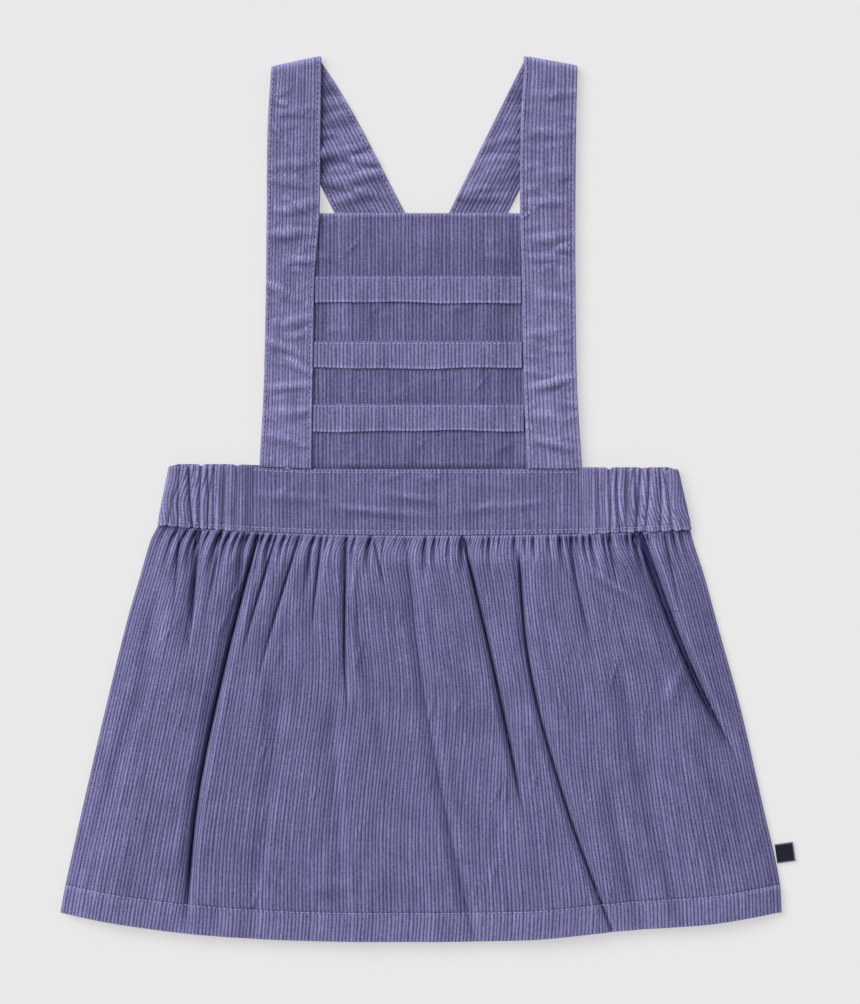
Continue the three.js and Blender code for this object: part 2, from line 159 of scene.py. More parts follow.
BACK_RIDGES = [
    Crease("back left side", -104, -116, -128, -139, -0.1, 0.45, 1, 7, 7),
    Crease("back left long", -74, -86, -97, -106, -0.1, 0.85, 1.6, 8, 6),
    Crease("back left short", -45, -51, -57, -62, -0.1, 0.3, 1.2, 6, 6),
    Crease("back middle", -12, -14, -19, -24, -0.1, 0.6, 1.5, 7, 8),
    Crease("back right short", 19, 23, 27, 30, -0.1, 0.35, 1.2, 6, 6),
    Crease("back right long", 51, 61, 72, 84, -0.1, 0.85, 1.6, 7, 8),
    Crease("back right side", 92, 104, 115, 126, -0.1, 0.4, 1, 7, 7),
]

# A crease of the elasticated band: x at its top and bottom, depth and half width
Gather = namedtuple("Gather", "top low depth half")
GATHERS = [Gather(*row) for row in (
    (-124.2, -127, 0.8, 2.2), (-121, -122.6, 0.9, 1.8), (-116.8, -114.4, 1.7, 2.3),
    (-110.6, -110.9, 1.2, 1.8), (-107.1, -107.4, 1.3, 1.7), (-103.6, -103.9, 1.0, 1.8),
    (-98.9, -99, 0.7, 2.4), (-93, -92.6, 0.4, 2.5), (87.6, 88, 0.4, 2.5), (93.8, 94, 0.9, 2),
    (97.4, 99.2, 1.3, 1.9), (102.4, 102.7, 0.6, 2.4), (106.6, 106.9, 1.2, 1.9),
    (109.4, 109.6, 1.0, 1.7), (113.4, 111.8, 1.2, 2), (119.2, 119, 0.9, 2), (122.5, 125.5, 1.1, 2),
    (126.4, 130.6, 0.8, 2),
)]

# A soft wrinkle: the middle of its line, half its length, its turn from +X in degrees, height and half width
Wrinkle = namedtuple("Wrinkle", "x y reach turn height half")


def crumples(seed, count, low, high, turn, size=1.0):
    """Small random wrinkles between two corners, lying near one direction."""
    rng = np.random.default_rng(seed)
    return [
        Wrinkle(
            rng.uniform(low[0], high[0]), rng.uniform(low[1], high[1]), size * rng.uniform(3, 11),
            turn + rng.normal(0, 16), size * rng.uniform(0.1, 0.42), size * rng.uniform(0.8, 2.0),
        )
        for _ in range(count)
    ]


def wrinkles(*rows):
    return [Wrinkle(*row) for row in rows]


BAND_WRINKLES = wrinkles(
    (-66, 1.5, 26, -4, 0.5, 3.2), (-24, -5.5, 30, -5, 0.7, 2.6), (-4, 1, 17, -8, 0.6, 2.2),
    (38, -3.5, 26, 5, 0.4, 3.4),
) + crumples(SEED + 1, 12, (-80, -12), (75, 12), 0)
STRAP_WRINKLES = {
    "strap_left": wrinkles(
        (-66, 168, 15, 6, 0.5, 3), (-68, 159.5, 14, -5, 0.5, 2.4), (-60, 147, 13, 14, 0.7, 3.4),
        (-68, 133, 15, 4, 0.8, 3.2), (-60, 119.5, 11, 3, 0.8, 2.2), (-71, 105, 12, -24, 0.8, 3),
        (-61, 90, 12, 12, 0.7, 3.6), (-70, 77, 13, -20, 0.7, 2.8), (-60, 66, 11, -26, 0.8, 2.6),
        (-66, 56.5, 14, 4, 0.9, 2.2), (-62, 44, 12, 8, 0.7, 2.6), (-70, 31, 12, -10, 0.7, 3),
    ) + crumples(SEED + 3, 90, (-80, 18), (-52, 205), 0),
    "strap_right": wrinkles(
        (66, 203, 14, 4, 0.5, 3), (62, 184, 14, -8, 0.6, 3.2), (66, 163, 14, 3, 0.5, 3.4),
        (63, 149, 14, 2, 0.7, 2.4), (64, 131, 14, 5, 0.8, 3), (62, 121, 12, -2, 0.7, 2.2),
        (66, 101, 14, -14, 0.6, 3.6), (62, 84, 13, 8, 0.5, 3), (66, 58.5, 13, 13, 1.2, 2.6),
        (60, 42, 12, -9, 0.6, 3.4), (66, 28, 14, -14, 0.9, 2.4),
    ) + crumples(SEED + 4, 90, (51, 18), (80, 205), 0),
}
WRINKLE_HEIGHT = 2.2  # all wrinkles together
BIB_WRINKLES = wrinkles(
    (-44, 74, 9, 18, 0.4, 2.2), (38, 121, 14, -9, 0.35, 3), (40, 71, 10, -16, 0.4, 2.4),
    (-44, 104, 8, 30, 0.35, 2.4), (-20, 40, 20, -4, 0.3, 3),
) + crumples(SEED + 2, 36, (-50, 20), (48, 140), 10)
SKIRT_WRINKLES = wrinkles(
    (-71, -190, 13, -38, 0.7, 3), (-47, -193, 15, 4, 0.6, 4.5), (-80, -176, 14, -20, 0.4, 4),
    (126, -92, 15, 62, 0.7, 5), (92, -40, 16, -34, 0.6, 3), (104, -48, 18, -30, 0.5, 3),
    (128, -150, 24, -42, 0.5, 6), (20, -188, 22, -12, 0.4, 6),
)
SKIRT_CRUMPLES = crumples(SEED, 90, (-150, -200), (150, -30), 75)

# Bib and tucks
BIB_LOW, BIB_HIGH = box_mm("bib")
BIB_EDGE_HEIGHT, BIB_RISE = 3.3, 2.2  # middle of its wall under the straps, and its rise between them
TUCK_BOXES = {name: box_mm(name) for name in ("tuck_1", "tuck_2", "tuck_3")}
TUCK_STITCH = 1.1  # distance of a tuck's stitches from its upper edge

# Straps: x of the outer and the inner edge up the front, the fold at the shoulder, and down the back,
# where t is the share of the way down
StrapRow = namedtuple("StrapRow", "key outer inner")
Strap = namedtuple("Strap", "front shoulder back over")
STRAPS = {
    "strap_left": Strap(
        [
            StrapRow(16.4, -81.3, -55.2),
            StrapRow(56, -79.2, -54.7),
            StrapRow(110, -78, -53.6),
            StrapRow(143, -77.7, -51.2),
            StrapRow(187, -77.2, -50.7),
        ],
        {"outer": (-75.6, 213.6), "inner": (-50.4, 219)},
        [(0.085, 202, -70.5, -39.6), (0.17, 185, -63.4, -30), (0.37, 144, -44.2, -8.8), (1, 15.4, 26.6, 60)],
        False,
    ),
    "strap_right": Strap(
        [
            StrapRow(15.4, 80.1, 52.6),
            StrapRow(56, 77.6, 50.9),
            StrapRow(110, 76.8, 49.9),
            StrapRow(143, 76.7, 49),
            StrapRow(187, 77.1, 49.2),
        ],
        {"outer": (77.7, 214.2), "inner": (50.9, 219)},
        [(0.17, 185, 64.1, 34), (0.37, 144, 43.4, 13.8), (1, 15.4, -20.8, -50.1)],
        True,
    ),
}
STRAP_WALES = {"strap_left": 16, "strap_right": 14}
STRAP_WIDTH = 27.0  # mean width
SHOULDER = 213.0  # y where the front of a strap ends and its fold begins
STRAP_INNER = 50.0  # distance of the straps' inner edges from the dress's middle line
STRAP_WRINKLES_LEAN = 8  # degrees by which the wrinkles behind the bib lean
BACK_WALE = 40  # first wale of a strap's back, so that its pattern isn't that of the front
FRONT_ROWS, FOLD_ROWS, BACK_ROWS = 150, 8, 130  # rows of the mesh of a strap
STRAP_FRONT_HEIGHT, STRAP_BACK_HEIGHT = 5.2, 1.0  # middle of a strap's wall in front and behind
STRAP_CROSSING = 2.6  # how much higher one strap lies where it crosses the other
LEAST_STITCH_HEIGHT = 0.3  # keeps the stitches under the straps clear of the surface
CROSSING_Y, CROSSING_FULL, CROSSING_END = 91.0, 33.0, 50.0  # its y, half its flat top, half its reach

# Camera: the width of surface that one dot of the 860 by 1004 view covers, and the middle of the view
VIEW_DOT = 0.5
VIEW_SIZE = (860, 1004)
VIEW_MIDDLE = (4.0, -1.5)
VIEW_LEVEL = 6.0  # height at which the view has that scale
PAPER_GLOW = 0.625  # strength of the light that comes through the backdrop from behind


# Settings that a user would change


class ClothSettings(bpy.types.PropertyGroup):
    pitch: bpy.props.FloatProperty(
        name="Wale pitch", description="Distance from one wale of the cord to the next",
        default=0.00181, precision=5, unit="LENGTH",
    )
    relief: bpy.props.FloatProperty(
        name="Wale height", description="Height of a wale above the ground between wales",
        default=0.00044, precision=5, unit="LENGTH",
    )
    thickness: bpy.props.FloatProperty(
        name="Cloth thickness", description="Thickness of one layer of corduroy",
        default=0.0012, precision=4, unit="LENGTH",
    )
    doubled: bpy.props.FloatProperty(
        name="Doubled thickness", description="Thickness of two pressed layers",
        default=0.002, precision=4, unit="LENGTH",
    )
    nap_colour: bpy.props.FloatVectorProperty(
        name="Nap", description="Colour of the brushed tops of the wales",
        subtype="COLOR", size=3, min=0, max=1, default=linear("#8582aa")[:3],
    )
    ground_colour: bpy.props.FloatVectorProperty(
        name="Ground", description="Colour of the woven ground between the wales",
        subtype="COLOR", size=3, min=0, max=1, default=linear("#43407b")[:3],
    )


class SewingSettings(bpy.types.PropertyGroup):
    pitch: bpy.props.FloatProperty(
        name="Stitch pitch", description="Distance from one stitch to the next",
        default=0.0026, precision=4, unit="LENGTH",
    )
    length: bpy.props.FloatProperty(
        name="Stitch length", description="Length of thread that shows in one stitch",
        default=0.0022, precision=4, unit="LENGTH",
    )
    width: bpy.props.FloatProperty(
        name="Thread width", description="Thickness of the sewing thread",
        default=0.00048, precision=5, unit="LENGTH",
    )
    inset: bpy.props.FloatProperty(
        name="Edge distance", description="Distance of the top stitching from a folded edge",
        default=0.0015, precision=4, unit="LENGTH",
    )


class GatherSettings(bpy.types.PropertyGroup):
    spacing: bpy.props.FloatProperty(
        name="Gather spacing", description="Mean distance between the small gathers under the waistband",
        default=0.0048, precision=4, unit="LENGTH",
    )
    depth: bpy.props.FloatProperty(
        name="Gather depth", description="Depth of the deepest small gathers",
        default=0.0042, precision=4, unit="LENGTH",
    )
    reach: bpy.props.FloatProperty(
        name="Gather reach", description="Length of the longest small gathers",
        default=0.052, precision=3, unit="LENGTH",
    )


class StudioSettings(bpy.types.PropertyGroup):
    key: bpy.props.FloatProperty(
        name="Key light", description="Strength of the soft light from the upper left", default=2.35, min=0,
    )
    softness: bpy.props.FloatProperty(
        name="Softness", description="Angle that the key light fills",
        default=math.radians(45), subtype="ANGLE",
    )
    fill: bpy.props.FloatProperty(
        name="Fill light", description="Strength of the light from all round", default=0.36, min=0,
    )
    lens: bpy.props.FloatProperty(
        name="Lens", description="Focal length of the camera in millimetres", default=180, min=20,
    )


# Cloth shapes


def lerp(a, b, t):
    """From a (t = 0) to b (t = 1)."""
    return a + (b - a) * t


def ease(t):
    """0 to 1 with soft ends."""
    t = np.clip(t, 0, 1)
    return t * t * (3 - 2 * t)


def bell(d, left, right):
    """1 at d = 0, falling softly to 0 at the width of the side that d is on."""
    share = np.minimum(1, np.abs(d) / np.where(d < 0, left, right))
    return 0.5 + 0.5 * np.cos(np.pi * share)


def nearer(place, whole=1):
    """Distance to the nearer end of a stretch that runs from 0."""
    return np.minimum(place, whole - place)


def through(keys, values):
    """A smooth curve through values at rising keys."""
    keys, values = np.array(keys, float), np.array(values, float)
    last = len(keys) - 1
    before = np.maximum(np.arange(last + 1) - 1, 0)
    after = np.minimum(np.arange(last + 1) + 1, last)
    slopes = (values[after] - values[before]) / (keys[after] - keys[before])

    def at(where):
        i = np.clip(np.searchsorted(keys, where) - 1, 0, last - 1)
        step = keys[i + 1] - keys[i]
        t = np.clip((where - keys[i]) / step, 0, 1)
        rise = values[i + 1] - values[i]
        start, end = slopes[i] * step - rise, slopes[i + 1] * step - rise
        return values[i] + t * rise + t * (1 - t) * ((1 - t) * start - t * end)

    return at


left_side = through([row.y for row in SIDE_ROWS], [row.left for row in SIDE_ROWS])
right_side = through([row.y for row in SIDE_ROWS], [row.right for row in SIDE_ROWS])


def panel_width(y):
    """Width of the skirt at a height."""
    return right_side(y) - left_side(y)


def waver(wale, along):
    """How far washing and wear push a wale sideways at a place along it."""
    uneven = 0.13 * np.sin(2.3 * wale) + 0.1 * np.sin(0.91 * wale + 1)
    slow = 0.09 * np.sin(along / 6.1 + 0.83 * wale) * np.sin(along / 17 + 0.37 * wale)
    return uneven + slow + 0.06 * np.sin(along / 2.6 + 1.9 * wale)


def ribbed(wale):
    """Height of the cord, from 0 between two wales to 1 on a wale's rounded top."""
    return np.sqrt(np.abs(np.sin(np.pi * wale)))


def toothed(wale, distance, way):
    """How far the wales stand out over a folded edge, up (1) or down (-1)."""
    return way * TOOTH * (1 - ribbed(wale)) * ease(1 - distance / 1.2)


def rim(distance, radius):
    """Share of the thickness at a distance from a rolled edge."""
    inside = np.clip(1 - distance / radius, 0, 1)
    return np.sqrt(np.maximum(1 - inside**2, RIM_LEAST**2))


def wrinkled(wrinkles, x, y):
    """Height of soft wrinkles at places on the cloth."""
    height = np.zeros(np.broadcast(x, y).shape)
    for w in wrinkles:
        turn = math.radians(w.turn)
        along = (x - w.x) * math.cos(turn) + (y - w.y) * math.sin(turn)
        beside = (y - w.y) * math.cos(turn) - (x - w.x) * math.sin(turn)
        reach = 1.3 * w.reach
        ridge = bell(beside, 1.5 * w.half, 0.9 * w.half) * bell(along, reach, reach)
        height += WRINKLE_HEIGHT * w.height * ridge
    return height


def creased(creases, x, down):
    """How far the creases of a table reach at places of a skirt panel."""
    depth = np.zeros(np.broadcast(x, down).shape)
    for c in creases:
        line = through([0, 1 / 3, 2 / 3, 1], [c.band, c.third, c.second, c.hem])(down)
        fade = ease((down - c.start) / 0.12) * ease((c.end - down) / 0.2)
        beside = x - line
        broad, sharp = bell(beside, c.left, c.right), bell(beside, SHARP * c.left, SHARP * c.right)
        depth += c.depth * fade * lerp(broad, sharp, SHARP_SHARE * ease(c.depth - 0.9))
    return depth


def band_lower_edge(x):
    """y of the waistband's lower edge, which climbs to its ends."""
    rise = np.where(x < 0, BAND_RISE_LEFT, BAND_RISE_RIGHT)
    return BAND_LOWER + rise * np.abs(x / BAND_ENDS["left"][1]) ** 2.2


def band_upper_edge(x):
    """y of the waistband's upper edge, which is a little higher at the left."""
    return BAND_UPPER + BAND_TOP_RISE * ease((-55 - x) / 45)


def hem_line(x):
    """y of the hem, which hangs lowest near the middle."""
    out = np.minimum(1, np.abs(x - HEM_MIDDLE) / np.where(x < HEM_MIDDLE, *HEM_REACH))
    lift = HEM_LIFT * bell(x - HEM_LIFT_X, HEM_LIFT_HALF, HEM_LIFT_HALF)
    return SIDE_HEM - HEM_DROP * (1 - out**2.6) + lift


def on_skirt(down, across):
    """x and y on a skirt panel: down runs from the band (0) to the hem (1), across from left to right."""
    side_y = lerp(SIDE_TOP, SIDE_HEM, down)
    at_band = band_lower_edge(lerp(left_side(SIDE_TOP), right_side(SIDE_TOP), across)) - SEAM
    at_hem = hem_line(lerp(left_side(SIDE_HEM), right_side(SIDE_HEM), across))
    return lerp(left_side(side_y), right_side(side_y), across), lerp(at_band, at_hem, down)


def skirt_wall(down, cloth):
    """Thickness of a skirt panel, which is doubled where the hem is turned up."""
    thin, thick = cloth.thickness / MM, cloth.doubled / MM
    return lerp(thin, thick, ease((down - HEM_SHARE + 0.004) / 0.008))


def back_rise(x, down, across):
    """How far the folds of the back panel lift it from the surface."""
    edge = ease(nearer(across) * 10)
    return np.minimum(BACK_RIDGE_LIMIT, creased(BACK_RIDGES, x, down)) * edge


def small_gathers(gather):
    """Uneven short folds below the band: the share across, depth, length and half width of each."""
    rng = np.random.default_rng(SEED)
    width = panel_width(SIDE_TOP)
    rows, place = [], 4.0
    while place < width - 4:
        size = rng.random() ** 1.3
        rows.append((
            place / width,
            gather.depth / MM * (0.16 + 0.84 * size),
            gather.reach / MM * (0.12 + 0.4 * size + 0.48 * rng.random() ** 2.2),
            0.9 + 1.1 * size,
        ))
        place += gather.spacing / MM * (0.4 + 1.2 * rng.random())
    return rows


def gathered(rows, down, across):
    """Depth of the small gathers at places of the front panel."""
    width = panel_width(SIDE_TOP)
    way = down * SKIRT_LENGTH
    depth = np.zeros(np.broadcast(down, across).shape)
    for share, deep, length, half in rows:
        spread = half * (1 + way / 26)
        depth += deep * ease(1 - way / length) * bell((across - share) * width, spread, spread)
    return depth


def front_top(down, across, cloth, gathers):
    """Front skirt panel: x, y, height of its face, depth of its creases and the least height it may have."""
    # The strip that is tucked under the waistband is short at its ends, where the band gives no cover
    narrowed = lerp(0.1, 1, ease((nearer(across) * panel_width(SIDE_TOP) - 3) / 8))
    down = np.where(down < 0, down * narrowed, down)
    way = down * SKIRT_LENGTH
    x, y = on_skirt(down, across)
    from_side = nearer(across) * panel_width(y)
    side = np.sin(np.pi / 2 * np.minimum(1, from_side / SIDE_ROUND))
    body = lerp(FULLNESS, HEM_HEIGHT, down)
    seam_height = lerp(UNDER_BAND, SEAM_HEIGHT, ease((way + 0.9) / 1.3))
    full = lerp(seam_height, body, ease(down / GATHER_RISE))
    wall = skirt_wall(down, cloth)
    lowest = np.maximum(back_rise(x, down, across) + 2 * wall + PANEL_GAP, UNDER_BAND * (way < 0))
    depth = CREASE_DEEPER * creased(FRONT_CREASES, x, down) + gathered(gathers, down, across)
    depth = depth * lerp(0.25, 1, ease((way + 0.6) / 5))
    # Slow waves that no crease explains, and finer ones along the hem
    swell = 0.55 * np.sin(x / 9.3 + 1.7 * np.sin(x / 23)) * ease(down / 0.2)
    swell += 0.3 * np.sin(x / 3.9 + 2 * np.sin(x / 17)) * ease((down - HEM_SHARE + 0.02) / 0.03)
    lifted = full + swell + wrinkled(SKIRT_WRINKLES, x, y) + wrinkled(SKIRT_CRUMPLES, x, y)
    hem_seam = 0.4 * bell((down - HEM_SHARE) * SKIRT_LENGTH, 1.4, 1.0)
    top = lerp(lowest, lifted, side) - depth * side - hem_seam
    return x, y, np.maximum(lowest, top), depth, lowest


def band_height(x, y):
    """Middle of the waistband's wall on its front, with the creases of its elasticated ends."""
    down = (band_upper_edge(x) - y) / (band_upper_edge(x) - band_lower_edge(x))
    swell = np.minimum(ease((BAND_SEAM_LEFT - x) / 8) + ease((x - BAND_SEAM_RIGHT) / 8), 1)
    depth = np.zeros(np.broadcast(x, y).shape)
    for g in GATHERS:
        bend = 0.5 * np.sin(3.1 * down + g.top)
        depth += g.depth * bell(x - lerp(g.top, g.low, down) - bend, g.half, g.half)
    fine = 0.16 * np.sin(x * 1.9 + 2.5 * down) * swell
    return BAND_MIDDLE + ELASTIC_SWELL * swell - np.minimum(3.4, GATHER_DEEPER * depth) + fine, depth


def bib_height(x, y):
    """Middle of the bib's wall: low under the straps, and over the crossed straps behind it."""
    across = ease((47 - np.abs(x)) / 12)
    top_end, low_end = lerp(0.5, 1, ease((BIB_HIGH[1] - y) / 18)), lerp(0.5, 1, ease((y - BIB_LOW[1]) / 30))
    return BIB_EDGE_HEIGHT + BIB_RISE * across * np.minimum(top_end, low_end)


# Meshes

# One face of a piece as a grid of points, and what its material reads at each: the place across in wales,
# the place along in millimetres, how much pile shows (1 on top of a wale), and a change of tone: painted
# light and shade, and wear
Side = namedtuple("Side", "points wale along nap tone")
FIELDS = Side._fields[1:]


def normals_of(points):
    """Unit normals of a grid whose rows run down and whose columns run to the right."""
    across = np.cross(np.gradient(points, axis=0), np.gradient(points, axis=1))
    return across / np.linalg.norm(across, axis=2, keepdims=True)


def wear_and_painted_light(points):
    """Change of tone of cloth: paler where it bulges, partly wear and partly a painted highlight, darker
    where it bends into a hollow, a painted shade, and paler or darker as it faces towards or away from the
    key light at the upper left, a painted light.
    """
    normals = normals_of(points)
    # Bends: paler on ridges, partly wear and partly a painted highlight, darker in hollows, a painted shade
    bulge = np.zeros(points.shape[:2])
    for axis in (0, 1):
        ahead = np.gradient(points, axis=axis)
        length = np.maximum(np.linalg.norm(ahead, axis=2, keepdims=True), 1e-6)
        bend = np.gradient(ahead / length, axis=axis) / length
        bulge -= np.sum(bend * normals, axis=2)
    # Painted light: cloth that faces the key light at the upper left is made paler, cloth that faces away
    # darker
    facing_light = normals[:, :, 1] * LIT_FACING_TONE[1] + normals[:, :, 0] * LIT_FACING_TONE[0]
    return RIDGE_WEAR_AND_SHADE * np.clip(bulge, -1.3, 0.9) + facing_light


def edge_wear(distance, reach):
    """How pale a folded edge is rubbed, from 1 at the edge to 0 at its reach."""
    return ease(1 - distance / reach)


def side_of(x, y, z, wale, along, nap, tone):
    """One face of a piece from values that need not all have the grid's full shape."""
    points = np.stack(np.broadcast_arrays(x, y, z), axis=2)
    shape = points.shape[:2]
    return Side(points, *[np.broadcast_to(value, shape) for value in (wale, along, nap, tone)])


def thinned(side, row_step, column_step):
    """Every few rows and columns of a face, with its last ones."""
    rows, columns = side.points.shape[:2]
    keep_rows = np.unique(np.r_[np.arange(0, rows, row_step), rows - 1])
    keep_columns = np.unique(np.r_[np.arange(0, columns, column_step), columns - 1])
    return Side(*[np.asarray(value)[np.ix_(keep_rows, keep_columns)] for value in side])


def zipped(first, second):
    """Triangles between two rows of vertices that run side by side."""
    faces, i, j = [], 0, 0
    n, m = len(first) - 1, len(second) - 1
    while i < n or j < m:
        if j == m or (i < n and (i + 1) / n <= (j + 1) / m):
            faces.append((first[i], first[i + 1], second[j]))
            i += 1
        else:
            faces.append((first[i], second[j + 1], second[j]))
            j += 1
    return faces


def closed_cloth(name, upper, lower, material):
    """A closed shell between an upper and a lower face, whose rims are joined all round."""
    counts = [side.points.shape[:2] for side in (upper, lower)]
    top = np.arange(counts[0][0] * counts[0][1]).reshape(counts[0])
    under = np.arange(counts[1][0] * counts[1][1]).reshape(counts[1]) + top.size
    over_faces = [top[:-1, :-1], top[1:, :-1], top[1:, 1:], top[:-1, 1:]]
    under_faces = [under[:-1, :-1], under[:-1, 1:], under[1:, 1:], under[1:, :-1]]
    faces = []
    for grid in (over_faces, under_faces):
        faces += np.stack(grid, axis=2).reshape(-1, 4).tolist()
    faces += zipped(top[0].tolist(), under[0].tolist())
    faces += zipped(top[-1][::-1].tolist(), under[-1][::-1].tolist())
    faces += zipped(top[::-1, 0].tolist(), under[::-1, 0].tolist())
    faces += zipped(top[:, -1].tolist(), under[:, -1].tolist())
    points = np.concatenate([side.points.reshape(-1, 3) for side in (upper, lower)]) * MM
    mesh = bpy.data.meshes.new(name)
    mesh.from_pydata(points.tolist(), [], faces)
    for field in FIELDS:
        values = np.concatenate([np.ravel(getattr(side, field)) for side in (upper, lower)])
        mesh.attributes.new(field, "FLOAT", "POINT").data.foreach_set("value", values.astype(np.float32))
    mesh.polygons.foreach_set("use_smooth", [True] * len(mesh.polygons))
    mesh.materials.append(material)
    mesh.update()
    return placed(name, mesh)


def placed(name, data):
    """Puts a new object at the origin of the scene."""
    made = bpy.data.objects.new(name, data)
    bpy.context.scene.collection.objects.link(made)
    return made


def held(piece, slot, *nodes):
    """Rides a piece on the dress, in the place of its plain solids."""
    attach(piece, "root")
    if nodes:
        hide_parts(*nodes)
    return piece


def cloth_piece(name, upper, lower):
    """Makes one corduroy piece, which stands for the part of the same name."""
    surface = finished("washed cotton corduroy", corduroy)
    return held(closed_cloth("corduroy_" + name, upper, lower, surface), "corduroy", name)


def pressed_wales(width, cloth):
    """Number of wales across a pressed piece, and the place of each column of its mesh among them."""
    wales = round(width / (cloth.pitch / MM * PRESSED_WIDER))
    return wales, np.linspace(0, wales, wales * PER_WALE + 1)[None, :]


def pressed_piece(name, place, radius, edge, raised, wale, along, tone, cloth):
    """Makes a pressed piece from x, y and the middle of its wall; raised is what sewing adds to its face."""
    x, y, middle = place
    nap = ribbed(wale) + 0 * along
    relief = cloth.relief / MM * (1 - nap)
    upper = side_of(x, y, middle + (radius - relief) * edge + raised, wale, along, nap, tone)
    lower = side_of(x, y, middle - radius * edge, wale, along, *INSIDE)
    return cloth_piece(name, upper, thinned(lower, 2, PER_WALE))


# Materials


def add(tree, kind, links=None, **settings):
    """Adds a node with its settings; links gives each input a socket or a value."""
    made = tree.nodes.new(kind)
    for name, value in settings.items():
        setattr(made, name, value)
    for socket, source in (links or {}).items():
        if isinstance(source, bpy.types.NodeSocket):
            tree.links.new(source, made.inputs[socket])
        else:
            made.inputs[socket].default_value = source
    return made


def finished(name, surface):
    """The material of a name, built once: surface adds its nodes to a tree and gives back its shader."""
    material = bpy.data.materials.get(name)
    if material is None:
        material = bpy.data.materials.new(name)
        material.use_nodes = True
        material.node_tree.nodes.clear()
        add(material.node_tree, "ShaderNodeOutputMaterial", {"Surface": surface(material.node_tree)})
    return material


# The uneven patterns of the cloth: how each is stretched across and along the wales, its scale in turns per
# millimetre, its detail and its roughness
PATTERNS = {
    "tufts": ((1.0, 0.62), 0.95, 3.0, 0.62),
    "fibres": ((1.0, 1.0), 2.3, 2.0, 0.6),
    "streaks": ((0.62, 0.03), 1.0, 2.0, 0.5),
    "smudges": ((0.3, 0.85), 1.0, 3.0, 0.6),
    "clouds": ((1.0, 1.0), 0.07, 4.0, 0.62),
}
SWINGS = {"smudges": 0.32, "fibres": 0.82, "streaks": 0.56, "clouds": 0.34}  # how far each changes the shade


def corduroy(tree):
    """Garment-washed cotton corduroy with fourteen wales to the inch.

    The pile is cut and brushed, so wale tops scatter light softly and look pale, while the woven ground
    between them is darker. Washing leaves small tufts, streaks along single wales and faint cloudy patches.
    """
    cloth = bpy.context.scene.dress_cloth
    wale, along, nap, tone = (
        add(tree, "ShaderNodeAttribute", attribute_name=field).outputs["Fac"] for field in FIELDS
    )
    beside = add(tree, "ShaderNodeMath", {0: wale, 1: cloth.pitch / MM}, operation="MULTIPLY").outputs[0]
    place = add(tree, "ShaderNodeCombineXYZ", {0: beside, 1: along, 2: 0.0}).outputs[0]
    patterns = {}
    for name, (stretch, scale, detail, roughness) in PATTERNS.items():
        where = add(
            tree, "ShaderNodeVectorMath", {0: place, 1: (*stretch, 1.0)}, operation="MULTIPLY"
        ).outputs[0]
        patterns[name] = add(
            tree, "ShaderNodeTexNoise",
            {"Vector": where, "Scale": scale, "Detail": detail, "Roughness": roughness},
        ).outputs["Fac"]
    # Tufts and loose fibres break up the line between a wale and its ground
    rough = add(
        tree, "ShaderNodeMath", {0: patterns["tufts"], 1: patterns["fibres"]}, operation="ADD"
    ).outputs[0]
    broken = add(tree, "ShaderNodeMath", {0: rough, 1: 1.4, 2: -1.4}, operation="MULTIPLY_ADD").outputs[0]
    nap = add(tree, "ShaderNodeMath", {0: nap, 1: broken}, operation="ADD", use_clamp=True).outputs[0]
    # Each pattern swings about 1, and they are multiplied together and with the tone, which holds painted
    # light and shade as well as wear
    shade = add(tree, "ShaderNodeMath", {0: tone, 1: 1.0}, operation="ADD").outputs[0]
    for name, swing in SWINGS.items():
        factor = add(
            tree, "ShaderNodeMapRange",
            {
                "Value": patterns[name], "From Min": 0.25, "From Max": 0.75,
                "To Min": 1 - swing / 2, "To Max": 1 + swing / 2,
            },
            clamp=False,
        ).outputs["Result"]
        shade = add(tree, "ShaderNodeMath", {0: shade, 1: factor}, operation="MULTIPLY").outputs[0]
    # The colours of a Mix node are its seventh and eighth inputs and its third output
    pile = add(
        tree, "ShaderNodeMix", {0: nap, 6: (*cloth.ground_colour, 1), 7: (*cloth.nap_colour, 1)},
        data_type="RGBA",
    )
    # Shaded pile turns bluer, because its blue dims less
    blue = add(tree, "ShaderNodeMath", {0: shade, 1: 0.84, 2: 0.16}, operation="MULTIPLY_ADD").outputs[0]
    dimmed = add(tree, "ShaderNodeCombineXYZ", {0: shade, 1: shade, 2: blue}).outputs[0]
    colour = add(
        tree, "ShaderNodeVectorMath", {0: pile.outputs[2], 1: dimmed}, operation="MULTIPLY"
    ).outputs[0]
    bump = add(
        tree, "ShaderNodeBump", {"Height": rough, "Strength": 0.55, "Distance": 0.28 * MM}
    ).outputs["Normal"]
    return add(tree, "ShaderNodeBsdfPrincipled", {
        "Base Color": colour, "Normal": bump, "Roughness": 0.94, "Specular IOR Level": 0.15,
        "Sheen Weight": 0.18, "Sheen Roughness": 0.55, "Sheen Tint": linear("#dbd9ea"),
    }).outputs[0]


def thread(tree):
    """Spun polyester sewing thread, paler than the cloth, with a slight gloss along its twist."""
    place = add(tree, "ShaderNodeTexCoord").outputs["Object"]
    twist = add(
        tree, "ShaderNodeTexNoise", {"Vector": place, "Scale": 1 / (0.5 * MM), "Detail": 1.0}
    ).outputs["Fac"]
    colour = add(
        tree, "ShaderNodeMix", {0: twist, 6: linear("#8f8dba"), 7: linear("#c2c0dc")}, data_type="RGBA"
    )
    return add(tree, "ShaderNodeBsdfPrincipled", {
        "Base Color": colour.outputs[2], "Roughness": 0.6, "Specular IOR Level": 0.4,
        "Sheen Weight": 0.2, "Sheen Roughness": 0.4,
    }).outputs[0]


